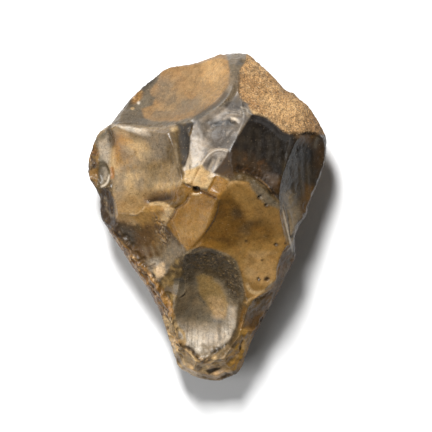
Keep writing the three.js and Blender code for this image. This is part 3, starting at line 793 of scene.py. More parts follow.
def stainBlocks(coat):
    # cream blocks and the crack below them
    coat.wash("umber", [(8.6, 27.2), (7.6, 24.6), (5.8, 22.2), (4, 20.2), (2.6, 18.2), (6, 16.4),
                        (10.4, 18.6), (10.8, 25)], 0.4, 1, 0.2, dull=0.85)
    coat.wash("cream", [(-9.4, 18.8), (-9.9, 15.4), (-8.8, 13.6), (-6, 12.6), (0, 11.8), (2.4, 15.2),
                        (3.2, 17.6), (-0.6, 19.4), (-2.2, 21.6), (-4.6, 20.4), (-7, 19.6)],
              0.5, 1, 0.1, dull=0.4)
    coat.cloud("gold", [(-9, 18), (-6, 13), (1, 12), (2.4, 17), (-4, 20)], 0.8, 0.7, 3, 445, 0.6)
    coat.wash("brown", [(-3, 20), (3.4, 17.6), (2.2, 14.6), (-1, 12.6), (-5, 13)], 1.5, 0.16)
    coat.stroke("honey", [(-2.6, 21.2), (-5.9, 14.4), (-5.9, 12.7)], 0.5, 0.3, 0.7)
    coat.stroke("honey", [(-8.4, 14), (-5, 12.6)], 1.0, 0.5, 0.6)
    coat.wash("ochre", [(3.3, 17.3), (6.2, 16.6), (9.1, 14.8), (6.9, 10.8), (4.8, 7.5), (0, 10.6)],
              0.5, 0.9, 0.1)
    coat.cloud("honey", [(3.3, 17.3), (9, 15), (5, 7.6), (0.6, 10.8)], 0.6, 0.7, 3, 447, 0.5)
    coat.stroke("cream", [(3.4, 17.6), (6.4, 16.9), (9.2, 15.2)], 0.8, 0.4, 0.6)
    # the crack and its hole get painted shade, and the hole's lower lip a painted highlight
    coat.shade("umber", [(-10.2, 14.2), (-7.8, 12.9), (-5.9, 12.2), (-3.5, 10.9), (-1.8, 10.2), (1, 8.9),
                         (4.4, 7.4)], 0.5, 0.5, 0.8)
    coat.shade("rust", [(-3, 11), (1, 9.3), (4.6, 7.7)], 0.9, 0.6, 0.5)
    coat.spot("umber", (-4.4, 11.3), (1.2, 1.1), 0, 0.4, 1)
    coat.stroke("cream", [(-6.2, 9.9), (-4.4, 9.2), (-2.7, 9.6)], 0.7, 0.3, 0.9)
    coat.shade("brownDeep", [(-7.2, 10), (-8.6, 6), (-10.6, 4.6), (-12.6, 3.2), (-13.8, 0.6), (-16, -2)],
               0.5, 0.45, 0.8)


def stainLeft(coat):
    hollow = [(-39, 38.4), (-24, 36.6), (-16, 36.8), (-13, 37.6), (-12.6, 28), (-11.2, 19), (-9.8, 15),
              (-9, 12.8), (-8, 9), (-12, 8), (-17, 7.4), (-23, 6), (-26, -2), (-33, -4), (-38, -2),
              (-38.4, 12), (-39.4, 24), (-40, 33)]
    coat.wash("buff", hollow, 0.5, 1, 0.2, dull=0.32)
    coat.cloud("tan", hollow, 1, 0.5, 8, 451, 0.5)
    coat.wash("stone", [(-37, 12), (-30, 16), (-20, 16), (-16, 11), (-20, 8), (-30, 6), (-37, 6)], 3, 0.7)
    coat.wash("ochre", [(-38.4, 33.5), (-35, 35), (-30.5, 32.5), (-28.6, 28), (-29.6, 23.5), (-33, 20),
                        (-38, 21)], 1.6, 0.9, 1)
    coat.wash("tanLight", [(-33, 32), (-27, 31), (-22, 27), (-24, 22), (-31, 23), (-34, 28)], 2, 0.75, 1)
    for at, radii in (((-36.4, 31.6), (1.6, 2.2)), ((-35.2, 27.4), (1.8, 2.0)),
                      ((-31.2, 24.4), (2.2, 1.3)), ((-33.4, 20), (2, 1.2))):
        coat.spot("orange", at, radii, 0, 0.8, 0.22)
    coat.wash("ash", [(-38.6, 20), (-36.4, 19), (-34.6, 12), (-36, 7), (-38, 8), (-39, 16)], 1.4, 0.8)
    coat.wash("tanLight", [(-36.6, 21), (-30, 22), (-26, 17), (-28, 9), (-35, 10)], 4, 0.7)
    coat.cloud("mouse", [(-36, 30), (-28, 27), (-18, 24), (-14, 12), (-26, 4), (-37, 4)],
               2, 0.6, 5, 453, 0.45)
    coat.cloud("tawny", [(-38, 33), (-29, 30), (-28, 20), (-38, 18)], 1.2, 0.5, 2.4, 455, 0.35)
    coat.wash("olive", [(-19, 36), (-13, 37), (-12.8, 28), (-13.4, 22), (-18.4, 22), (-19.4, 28)],
              1.8, 0.95, 0.5)
    coat.wash("olive", [(-28, 22), (-18, 24), (-17, 19), (-22, 18.6), (-28, 19.6)], 2, 0.5, 0.8)
    coat.wash("mouse", [(-33, 36.6), (-23, 36.4), (-16, 36.6), (-17, 24), (-22, 23), (-24, 30),
                        (-28, 33.4)], 2.2, 0.85, 0.4)
    # painted highlight: the light caught along the top of the left hollow
    coat.wash("silver", [(-38, 37.9), (-31, 36.8), (-25, 36.2), (-23, 33.4), (-28, 33.8), (-33, 35.8)],
              0.9, 0.95, 0.1, dull=0.40)
    coat.wash("pearl", [(-37.4, 37.8), (-31, 37), (-27, 36), (-26.6, 35), (-30, 34.9), (-33.4, 36)],
              0.6, 1, 0.1)
    coat.stroke("olive", [(-36.4, 38.5), (-30, 38), (-24, 37.4), (-17, 37.4)], 0.7, 0.4, 0.6)
    # painted highlight along the ridge between the hollows
    coat.stroke("ash", [(-36.6, 37.7), (-29.7, 37.6), (-24.2, 36.7), (-20.1, 36.4), (-15, 37.4),
                        (-11.4, 38.2), (-5.9, 38.8)], 0.5, 0.3, 0.8)
    coat.wash("buff", [(-18, 17), (-14, 20), (-10.4, 19.6), (-10, 16), (-14, 14), (-17, 14.6)],
              1.0, 0.7, 0.8, speck=0.8)
    coat.wash("tanLight", [(-22, 14), (-17, 14), (-10, 15), (-9.6, 12), (-15, 10.4), (-22, 11)], 1.6, 0.7)
    coat.spot("cream", (-14.6, 11.9), (1.5, 0.8), 0, 0.5, 0.8)
    coat.wash("honeyLight", [(-20, 10.4), (-15, 12), (-10, 13.6), (-8.2, 10), (-12, 9.4)], 1.3, 0.85)
    coat.wash("tawny", [(-37, 9), (-30, 12), (-22, 10), (-26, 0), (-34, -2), (-37.6, 0)], 4.5, 0.6)
    coat.cloud("brown", [(-37, 8), (-28, 9), (-24, 5), (-34, 0)], 3, 0.25, 5, 457, 0.4)
    # painted shade above the hinge, where the hollow dips away from the light
    coat.shade("brown", [(-26, 5), (-22, 6.8), (-18, 7.5), (-14, 7.8), (-8, 10.4)], 3.6, 0.9, 0.9, 0.12)
    coat.shade("umber", [(-25, 5.4), (-22, 6.6), (-18, 7.2), (-12.4, 7.8)], 2.0, 0.5, 1, 0.16)
    # hump and the lower left flake
    coat.wash("honeyLight", [(-27, 4), (-24, 5.6), (-16, 5.4), (-12.6, 3), (-16.4, -2), (-20, -5),
                             (-27, -3), (-31, 0)], 1.0, 0.9, 0.3)
    coat.wash("brown", [(-26, 2), (-20, 2), (-20, -4), (-26, -4)], 1.8, 0.45)
    coat.wash("tanLight", [(-17.6, 4.6), (-13, 3), (-14, 0.6), (-16.8, -2), (-18.8, -1)], 1.0, 0.9)
    coat.cloud("orange", [(-20, 4), (-15, 3), (-15, -2), (-20, -3)], 1, 0.4, 1.5, 459, 0.3)
    # the pale lip of the hinge: partly its own pale colour, partly painted highlight where it faces the
    # light
    coat.stroke("cream", [(-24.2, 5.3), (-20.1, 5.8), (-16.1, 5.3)], 1.0, 0.5, 0.9, dull=0.5)
    coat.stroke("tanLight", [(-16.4, 5.3), (-14.9, 3.8), (-12.8, 3.1)], 0.7, 0.4, 0.8, dull=0.5)
    coat.stroke("tanLight", [(-32, 1.5), (-28.9, 1.3), (-26.4, 3.1), (-25, 4.9)], 0.4, 0.4, 0.6)
    lower = [(-37, -1), (-33, -2.4), (-29.6, -5), (-27.4, -4.6), (-25.4, -1.4), (-20, -2.6),
             (-15.8, -3.4), (-11.8, -9), (-8, -13.2), (-10.6, -16), (-13, -20), (-17, -24.8),
             (-20.6, -25), (-26, -20), (-31, -15.6), (-36.4, -8)]
    coat.wash("brownDeep", lower, 2, 1, 1.0, dull=0.36)
    coat.wash("olive", [(-18, -4), (-12, -9), (-8, -13), (-17, -25), (-22, -24), (-22, -12)], 2.5, 0.8)
    coat.wash("honeyLight", [(-30, 2), (-24, 3), (-21, 0), (-26, -3.6)], 1.8, 0.6)
    coat.wash("smoke", [(-37.6, -2), (-33, -3.4), (-28.6, -7), (-29, -12), (-35, -9)], 2.6, 0.95)
    coat.wash("soot", [(-36.6, -3), (-31, -5), (-28, -11), (-31.6, -13), (-35, -9)], 2.2, 0.5)
    coat.wash("brownDeep", [(-29, -8), (-22, -9), (-19, -13), (-24, -17), (-29.4, -14)], 2.2, 0.9)
    coat.wash("soot", [(-35.6, -3.4), (-32, -5), (-30.4, -9), (-34, -9)], 1.6, 0.35)
    coat.cloud("tawny", [(-26, -2), (-19, -3), (-14, -8), (-18, -14), (-24, -10)], 1.5, 0.6, 4, 461, 0.45)
    coat.wash("ash", [(-14, -9), (-9, -13), (-13, -19), (-17, -23), (-17.6, -14)], 1.8, 0.75)
    # pale patina at the far end of the lower left flake, partly painted sheen
    coat.wash("ash", [(-25, -18), (-21, -16.6), (-16, -17), (-15.6, -22), (-19.4, -24.6), (-24, -21)],
              1.8, 0.95, 0.6, dull=0.40)
    coat.wash("pearl", [(-23, -17.6), (-20, -17), (-18, -20), (-18.6, -23.6), (-21, -22.6)], 1.6, 0.35)
    coat.wash("pink", [(-22, -20), (-17.6, -19), (-17.4, -24), (-20.6, -25)], 0.8, 0.7)
    coat.cloud("cream", [(-23, -19.6), (-17.6, -18), (-17, -24.6), (-22, -23.4)], 0.6, 0.6, 1.4, 463, 0.3)
    for x, lean in ((-27, 5), (-24, 5), (-21, 4.6), (-18.4, 4), (-16, 3)):
        coat.stroke("stone", [(x, -9), (x + lean * 0.4, -14), (x + lean, -21)], 0.7, 0.9, 0.4, 0.4, 0.3)
    coat.shade("brownDeep", [(-26, -20.2), (-23, -19.8), (-20.6, -18.4)], 0.4, 0.4, 0.8)
    coat.wash("brownDeep", [(-37, -5), (-33, -9), (-27, -17), (-29.6, -19), (-37, -10)], 1.2, 0.4, dull=0.9)
    coat.cloud("rind", [(-22, -0.6), (-17, -0.6), (-15, -10), (-20, -11)], 1, 0.8, 1.0, 465, 0.25)
    coat.cloud("black", [(-23, -1), (-17, -1), (-15, -10), (-20, -11)], 1, 0.5, 1.6, 467, 0.2)


def stainEdges(coat):
    coat.wash("slate", [(-47, 36), (-41, 38), (-39, 33), (-39.4, 24), (-42, 22), (-47, 24)],
              0.8, 1, 0.3, dull=0.32)
    coat.wash("ash", [(-45.6, 31), (-41, 33), (-40.6, 26), (-44, 25)], 1.4, 0.75)
    coat.stroke("umber", [(-42.4, 35.6), (-40.4, 35.4), (-38.6, 33), (-39.6, 27)], 2.6, 1.8, 0.7, 0.7, 0.35)
    coat.wash("tanLight", [(-40.4, 28), (-38, 28.4), (-37.2, 20), (-38.2, 15), (-39.4, 15), (-40, 21)],
              1, 0.55)
    # grey patina of the scoop, partly painted sheen
    coat.wash("silver", [(-44.6, 31), (-41, 32.4), (-39.8, 27), (-40.6, 22.8), (-42.8, 23.4)], 1.3, 0.6)
    coat.wash("rind", [(-46.4, 35), (-42, 38.4), (-39, 38.8), (-41, 36.6), (-45, 33)], 0.7, 0.7)
    outer = [(-50, 18), (-47.4, 28), (-46.2, 31), (-44.6, 27), (-44, 22), (-44.8, 16), (-45.6, 12),
             (-49, 14)]
    coat.wash("tawny", outer, 0.6, 0.9, 0.4)
    coat.cloud("plum", outer, 0.6, 0.9, 3, 470, 0.5)
    coat.clouds(outer, 0.5, [("tan", 0.5, 1.5, 471, 0.25), ("orange", 0.35, 1.6, 473, 0.2),
                             ("umber", 0.7, 1.3, 474, 0.2)])
    scoop = [(-44.2, 22.6), (-42.4, 23.4), (-40.4, 20), (-39.6, 15), (-41.4, 13), (-43.4, 12), (-44.6, 17)]
    coat.wash("slate", scoop, 0.5, 1, 0.15, dull=0.40)
    # painted light across the scoop: a painted highlight down its right side, painted shade at its upper
    # left, and a painted highlight on its lower rim
    coat.stroke("silver", [(-42.4, 21), (-41.4, 18.4), (-41.6, 15)], 0.9, 0.8, 0.6)
    coat.wash("smoke", [(-44.4, 20), (-43, 21.6), (-42.6, 17), (-43.4, 14), (-44.4, 15)], 0.7, 0.6)
    coat.stroke("pearl", [(-40, 18), (-40.4, 15.4), (-41.6, 13.4), (-43.8, 12.3)], 0.6, 0.4, 0.8, dull=0.5)
    coat.stroke("orange", [(-39.2, 21), (-38.6, 18.6), (-38.8, 15.6)], 1.1, 0.5, 0.8)
    low = [(-43, 12), (-40, 12.4), (-38.4, 8), (-37.4, 0), (-34.6, -7.6), (-36.4, -11), (-43, -4), (-45, 3)]
    coat.wash("umber", low, 0.6, 1, 0.3, dull=0.4, speck=0.6)
    coat.clouds(low, 0.6, [("plum", 0.8, 4, 475, 0.5), ("buff", 0.45, 1.4, 477, 0.15)])
    coat.stroke("ash", [(-42.2, 9), (-41, 6), (-41.6, 3)], 0.7, 0.5, 0.5)
    coat.stroke("ash", [(-41.4, 4), (-40, 1.6), (-38, 0)], 0.8, 0.5, 0.5)
    crushed = [(-43, -2), (-36.6, -8), (-31, -15), (-26, -20), (-21, -25.6), (-17.6, -30), (-14, -35.6),
               (-13.2, -40), (-16, -41), (-22, -38), (-32, -22), (-40, -8)]
    coat.wash("ochre", crushed, 0.8, 0.95, 0.6, dull=0.45, speck=0.8)
    coat.clouds(crushed, 0.8, [("brownDeep", 0.9, 2.4, 479, 0.4), ("rust", 0.8, 3.2, 483, 0.4),
                               ("pink", 0.8, 1.3, 481, 0.25), ("soot", 0.8, 1.2, 482, 0.15)])


def stainPoint(coat):
    ground = [(-13, -17), (-9, -15), (-10, -26), (-13, -34), (-16, -38), (-21, -30), (-18, -25)]
    coat.wash("olive", ground, 0.8, 1, 0.4)
    coat.cloud("oliveLight", ground, 0.8, 0.8, 3, 491, 0.45)
    hollow = [(-10, -15), (-5, -12.4), (2, -12.8), (8, -14.5), (12, -18), (14.5, -25), (15, -31),
              (14.2, -37), (13, -42), (11, -47), (9, -51), (6, -53.5), (1, -57), (-2, -57.5), (-5, -54),
              (-9, -52), (-9.5, -49), (-11, -46), (-13, -42), (-14.4, -37), (-12, -33), (-9, -31),
              (-8.6, -26), (-9.5, -20)]
    coat.wash("stone", hollow, 0.5, 1, 0.2, dull=0.32)
    coat.cloud("slate", hollow, 0.6, 0.8, 5, 489, 0.5)
    coat.wash("smoke", [(-9, -15), (2, -13), (11, -17), (14.5, -26), (14, -35), (9, -33), (6, -26),
                        (1, -23.6), (-4, -23), (-6, -27), (-9, -26)], 1.5, 0.9, 0.8, speck=1)
    coat.cloud("olive", [(-9, -15), (2, -13), (11, -17), (14.5, -26), (13, -34), (6, -26), (-4, -23)],
               1.2, 0.6, 3, 493, 0.4)
    coat.wash("soot", [(2, -24), (8, -21), (13.6, -25), (13.4, -32), (9.6, -31), (6, -26)], 1.8, 0.3)
    coat.wash("soot", [(-8, -28), (-4.4, -28), (-3.6, -34), (-8, -36)], 1.8, 0.35)
    arch = [(-9, -15), (4, -14), (12, -20), (14, -32), (9, -30), (4, -22), (-8, -22)]
    coat.clouds(arch, 1, [("olive", 0.7, 1.2, 495, 0.3), ("tan", 0.6, 0.8, 494, 0.12),
                          ("soot", 0.7, 1.5, 496, 0.2)])
    coat.wash("oliveLight", [(-4.4, -24), (-1.6, -23), (3, -25.4), (7, -30), (8.6, -36), (8, -40),
                             (3, -40), (0, -36), (-3.6, -31)], 1.0, 0.95, 0.6)
    coat.wash("tan", [(0, -33), (6, -32), (8.6, -38), (7, -41.5), (2, -40.5)], 1.8, 0.9)
    coat.wash("slate", [(-10, -36), (-2, -36), (3, -42), (8, -42), (6, -45), (-9, -42)], 2.6, 0.75)
    # grey patina of the hollow above the point, partly painted sheen where it rises towards the light
    coat.wash("silver", [(-12, -43), (-4, -44.6), (4, -46), (10, -43), (10, -48), (6.4, -52.6), (0, -57),
                         (-5, -53.6), (-9, -52)], 3.6, 1, 0.6, dull=0.5)
    coat.wash("pearl", [(-11, -46.6), (-5, -47.6), (-1, -51), (-2.6, -56), (-5, -53.6), (-9, -52.4)],
              1.4, 1)
    coat.wash("stone", [(-2, -44), (3, -44), (3, -50), (-0.6, -49)], 1.8, 0.6)
    coat.wash("stone", [(-1.6, -52), (3.6, -51.6), (5, -53.4), (1, -57), (-2, -57)], 1.2, 0.85)
    # painted sheen on the hollow's right flank, partly patina
    coat.wash("pearl", [(6.6, -46), (9.6, -44.6), (10, -47.4), (7.4, -50.6)], 1.2, 0.7)
    coat.wash("silver", [(8.6, -36), (11.6, -37), (11.6, -43), (9.4, -48), (8, -42)],
              1.0, 0.8, 0.3, dull=0.5)
    coat.stroke("smoke", [(5.4, -41.4), (5.0, -46), (5.4, -51)], 1.1, 0.6, 0.6)
    for x, low in ((-8.4, -51), (-6.4, -53), (-4, -54), (-1.8, -55.6), (0.6, -56), (2.8, -55),
                   (7.4, -50.6), (9, -48.4)):
        coat.stroke("slate", [(x * 0.92, low + 8.6), (x * 0.96, low + 4), (x, low)], 0.22, 0.3, 0.55)
    coat.wash("moss", [(-13.6, -34), (-9, -32), (-8.6, -37), (-12.8, -41)], 1.6, 0.4)
    coat.stroke("moss", [(14.4, -33), (13.6, -40), (12.6, -46), (9.6, -51.4), (5, -55)], 2.2, 0.6, 1)
    coat.stroke("soot", [(13, -42), (12.2, -46.6), (9, -51.6), (4.6, -55)], 1.0, 0.7, 0.6)
    coat.wash("slate", [(-13.6, -25), (-9.6, -24), (-8.6, -28), (-9.2, -31.6), (-11.6, -32.6),
                        (-13.8, -30)], 0.5, 0.9, 0.15, dull=0.32)
    coat.stroke("stone", [(-9, -24.6), (-8.4, -28), (-9.2, -31.2), (-11.5, -32.6)], 0.7, 0.4, 0.75)
    facet = [(-17.6, -38.6), (-13.2, -39.6), (-11.6, -45), (-13, -52), (-17, -51), (-19.6, -44)]
    coat.wash("cream", facet, 0.6, 1, 0.3)
    coat.cloud("ochre", facet, 0.6, 0.7, 2.4, 497, 0.4)
    coat.stroke("cream", [(-12.4, -44.6), (-9.6, -47.6), (-8.9, -52)], 1.0, 0.4, 0.95)
    tip = [(-18, -50), (-9.4, -50), (-8.6, -53), (-4, -56.6), (-1, -58.6), (3, -55.4), (8.6, -52),
           (11, -54), (10, -62), (12, -70), (-8, -70), (-17, -60)]
    coat.wash("cream", tip, 0.5, 1, 0.2, dull=0.36, speck=0.6)
    coat.cloud("pink", tip, 0.5, 0.8, 4, 498, 0.55)
    coat.clouds(tip, 0.6, [("tan", 0.5, 3.4, 499, 0.4), ("brownDeep", 0.45, 2.6, 501, 0.2)])
    coat.cloud("ochre", [(-17, -50), (-10, -50), (-12, -58), (-16, -58)], 0.8, 0.8, 2.5, 503, 0.4)
    coat.wash("olive", [(2.6, -54.8), (8.8, -50.8), (10.6, -52.6), (8, -56), (4.4, -58)], 0.8, 0.75)
    coat.wash("ash", [(-9, -57.4), (-6, -58), (-5.6, -60.4), (-8.6, -61)], 0.7, 0.6)
    coat.spot("plum", (-11.5, -58.6), (1.4, 1.6), 0, 0.6, 0.7)
    coat.wash("amber", [(12, -46.4), (16, -44.6), (21, -47), (19, -57), (14.6, -64), (7, -62.6),
                        (5.6, -58.4), (10.4, -54)], 1.4, 0.6, 0.8)
    coat.wash("amber", [(13.4, -48.4), (16.4, -46.6), (19.6, -49), (18, -56), (14.6, -62.4), (8.6, -62),
                        (7, -58), (11.4, -54)], 1.8, 0.95, 1.2)
    coat.cloud("gold", [(12.6, -49), (18, -48), (14, -61), (8, -60)], 1, 0.7, 2.2, 505, 0.4)
    coat.cloud("olive", [(12, -48), (18, -46), (16, -58), (10, -56)], 1, 0.45, 3.6, 506, 0.25)
    coat.cloud("brownDeep", [(11, -48), (18, -47), (14, -61), (8, -60)], 1, 0.7, 2.4, 507, 0.25)
    coat.stroke("moss", [(12.6, -45.4), (10.4, -52.4), (6, -56.6), (3.6, -60)], 1.7, 0.8, 0.7)
    coat.wash("umber", [(-5, -64.4), (10, -65), (8, -69), (-5, -69)], 1, 0.4)
    # painted shadow in the upper part of the notch at the very tip
    coat.wash("soot", [(-0.8, -62.8), (3, -61.5), (6.4, -61.4), (4.4, -62.9), (0.8, -64.4)],
              0.4, 0.95, 0.15)
    coat.wash("pink", [(3, -63.2), (7.2, -62), (7, -64), (4.8, -66), (2.6, -65)], 0.5, 0.85, 0.2)
    coat.wash("umber", [(8, -63.6), (12.6, -63), (12, -66), (5, -67.4)], 0.8, 0.6)
    coat.shade("umber", [(-12.4, -53.2), (-9, -52.9), (-6.3, -54), (-4.6, -56.6), (-1.4, -59.3),
                         (0.9, -58.2), (2.6, -55.4)], 0.6, 0.7, 0.85)
    coat.shade("soot", [(1, -55.5), (3, -54.6), (6.8, -53)], 0.9, 0.9, 0.8)


def stainRight(coat):
    flat = [(18.4, 42.3), (24, 40.7), (28, 37.5), (31, 34.8), (34, 33.6), (32, 25), (31, 15), (30, 6.4),
            (26.6, 9.8), (24.2, 13.6), (20.9, 16.4), (16.4, 18.3), (10.4, 20.4), (8.6, 24), (9.4, 28),
            (11.4, 31), (15.2, 37)]
    coat.wash("black", flat, 0.4, 1, 0.1, dull=0.34, speck=0.2, crust=0)
    coat.wash("jet", [(17, 40), (28, 36), (32, 32), (30, 14), (24, 20), (15, 34)], 2, 0.7)
    coat.wash("umber", [(9, 22), (16, 19), (26, 13), (26, 20), (16, 27), (10, 28)], 2.5, 0.85)
    coat.wash("brown", [(24, 17), (30.6, 17), (33.6, 10), (28, 8.6)], 1.6, 0.4)
    coat.wash("umber", [(22, 19.4), (28.4, 17), (29.4, 11.6), (24, 13)], 1.2, 0.5, dull=0.95)
    coat.cloud("rust", [(9, 21), (24, 16), (26, 22), (12, 26)], 2.2, 0.3, 1.6, 511, 0.35)
    coat.stroke("black", [(18.6, 41.4), (24, 39.2), (28, 36.2), (31.6, 33), (38, 32.4)],
                2.4, 1.0, 0.8, dull=0.85)
    for x in (13, 17, 20.5, 25, 28.4):
        coat.stroke("soot", [(x, 37 - abs(x - 20) * 0.5), (x + 0.6, 28), (x - 0.4, 22)], 1.3, 1.2, 0.6)
    coat.cloud("soot", [(12, 31), (26, 26), (32, 18), (32, 33), (24, 39), (16, 36)], 2, 0.8, 6, 513, 0.45)
    coat.wash("umber", [(3.4, 17.4), (9.4, 15.4), (13, 18.6), (10.4, 23), (6, 21.4)], 0.9, 0.95, 0.3)
    coat.wash("brownDeep", [(4, 17.2), (9.4, 15.4), (12.6, 17.8), (8, 19.8)], 0.8, 0.6)
    coat.stroke("umber", [(10, 27), (9.2, 24), (9.2, 20)], 0.9, 0.5, 0.7, dull=0.95)
    coat.spot("ash", (13.2, 16.6), (0.9, 0.9), 0, 0.5, 0.5)
    side = [(34, 33.8), (50, 34), (51, 22), (46, 8), (40, -6), (36, -17), (33.6, -12), (31.4, -2),
            (30, 6), (31, 15), (32, 25)]
    coat.wash("soot", side, 0.5, 1, 0.2, dull=0.4, crust=0)
    coat.wash("jet", [(30, 34), (42, 34), (44, 26), (40, 16), (34, 9), (30.4, 10), (30, 20)], 2.4, 1)
    coat.wash("brown", [(36, 34), (44.6, 34.8), (43, 29.6), (37, 30)], 1.6, 0.5)
    for x, lean, width in ((31.6, 2, 1.6), (34.6, 2.4, 1.0), (37.6, 1.4, 2.0), (41, 0.5, 1.4)):
        coat.stroke("smoke", [(x, 26), (x + lean * 0.3, 16), (x + lean, 2)], width, 1.4, 0.55, taper=0.3)
    for x, lean in ((33, 2.4), (36.2, 2), (39.6, 1), (43.6, 0)):
        coat.stroke("soot", [(x, 32), (x + lean * 0.3, 20), (x + lean, 6)], 1.0, 1.0, 0.55)
    coat.wash("stone", [(30.4, 10), (34, 11), (38, 2), (36, -10), (34, -12), (31.6, -2)], 2.6, 0.9)
    coat.wash("brown", [(40, 14), (46, 12), (44, 4), (39.6, -2), (38.4, 4)], 1.6, 0.6)
    coat.spot("brown", (46.4, 26), (1.4, 4), 0, 0.6, 0.9)
    coat.wash("umber", [(43.6, 32), (48.8, 33), (49, 18), (46, 12), (44.4, 20)], 1.2, 0.9)
    coat.stroke("slate", [(45.6, 33), (44.6, 31), (44, 28)], 1.2, 0.8, 0.5)
    # painted highlight along the ridge down the right side
    coat.stroke("silver", [(30.4, 5), (31.6, 0), (32.6, -4), (33.8, -9), (35.4, -15.4)], 0.6, 0.35, 0.9)
    coat.stroke("ash", [(32.2, 2), (33.4, -3), (34.2, -8)], 0.6, 0.5, 0.8)
    coat.wash("brown", [(33.6, -13.8), (36.4, -16), (34, -22), (31.6, -26), (28.6, -25.4), (29.6, -18)],
              0.7, 1, 0.3)
    coat.cloud("slate", [(33.6, -13.8), (36, -17), (31.6, -26), (28.8, -24)], 0.6, 0.7, 2.6, 517, 0.35)
    lower = [(24, -31), (29, -25.6), (33, -26), (27, -38), (20, -50), (16.6, -46), (12.8, -45), (14, -39),
             (15, -34)]
    coat.wash("brown", lower, 0.7, 1, 0.3)
    coat.clouds(lower, 0.8, [("tawny", 0.8, 5, 518, 0.4), ("olive", 0.7, 3, 519, 0.4)])
    coat.wash("oliveLight", [(16, -34), (25, -29.6), (22, -35), (17, -39)], 1.6, 0.5)
    coat.stroke("beige", [(14.8, -36), (17.5, -33.8), (21, -32), (25.5, -29.4), (28.4, -26)], 0.9, 0.5, 0.7)
    coat.stroke("silver", [(26.6, -33.6), (25, -38), (23, -43)], 0.5, 0.4, 0.6)


def stained(mesh):
    coat = Coat(mesh)
    stainUnderside(coat)
    coat.wash("olive", [(-60, -80), (60, -80), (60, 80), (-60, 80)])   # ground of the upper face
    stainButt(coat)
    stainLeft(coat)
    stainCentre(coat)
    stainCrest(coat)
    stainBlocks(coat)
    stainPoint(coat)
    stainRight(coat)
    stainEdges(coat)
    # ridges lighter: partly wear, partly painted highlight where the ridges catch the light
    coat.tintByBend("rind", 0.03, 0.11, 0.2)
    # creases darker: painted shade
    coat.tintByBend("umber", -0.03, -0.09, 0.5)
    coat.colour *= np.array(patina)
    coat.store()


class Value:
    # a shader socket that can be added, multiplied and so on
    def __init__(self, nodes, socket):
        self.nodes = nodes
        self.socket = socket

    def maths(self, kind, first, second):
        return self.nodes.add("Math", {"operation": kind}, {0: first, 1: second})

    def __add__(self, other):
        return self.maths("ADD", self, other)

    def __radd__(self, other):
        return self.maths("ADD", other, self)

    def __sub__(self, other):
        return self.maths("SUBTRACT", self, other)

    def __rsub__(self, other):
        return self.maths("SUBTRACT", other, self)

    def __mul__(self, other):
        return self.maths("MULTIPLY", self, other)

    def __rmul__(self, other):
        return self.maths("MULTIPLY", other, self)

    def between(self, low, high):
        # 0 below the first limit, 1 above the second
        settings = {"interpolation_type": "SMOOTHSTEP"}
        if low > high:
            return 1 - self.nodes.add("MapRange", settings, {0: self, 1: high, 2: low})
        return self.nodes.add("MapRange", settings, {0: self, 1: low, 2: high})


class Nodes:
    def __init__(self, material):
        material.use_nodes = True
        self.tree = material.node_tree
        self.shader = self.tree.nodes["Principled BSDF"]

    def add(self, kind, settings, sockets, output=0):
        node = self.tree.nodes.new("ShaderNode" + kind)
        for name, value in settings.items():
            setattr(node, name, value)
        for key, value in sockets.items():
            self.feed(node, key, value)
        return Value(self, node.outputs[output])

    def feed(self, node, key, value):
        if isinstance(value, Value):
            self.tree.links.new(value.socket, node.inputs[key])
        else:
            node.inputs[key].default_value = value

    def blend(self, factor, first, second, kind="MIX"):
        return self.add("Mix", {"data_type": "RGBA", "blend_type": kind}, {0: factor, 6: first,
                                                                           7: second}, 2)

    def noise(self, place, scale, detail=3, roughness=0.55, distortion=0.0):
        sockets = {"Vector": place, "Scale": scale, "Detail": detail, "Roughness": roughness,
                   "Distortion": distortion}
        return self.add("TexNoise", {}, sockets)

    def cells(self, place, scale, feature="F1", output="Distance"):
        return self.add("TexVoronoi", {"feature": feature}, {"Vector": place, "Scale": scale}, output)


flintLook = {
    "mottle": (170, 0.32),       # scale per metre, strength
    "fleck": (700, 0.55),
    "grain": (2000, 0.85),
    "grit": (1900, 0.62),        # sand grains of the rind
    "gritHeight": 1500,
    "drift": (330, 0.35),
    "warm": (1.18, 0.98, 0.72, 1),
    "darkSpeck": (780, 0.5),
    "darkColour": (0.022, 0.014, 0.008, 1),
    "paleSpeck": (1500, 0.45),
    "paleColour": (0.48, 0.35, 0.21, 1),
    "ior": 1.54,
    "shine": 0.26,
    "bump": 0.00045,
}


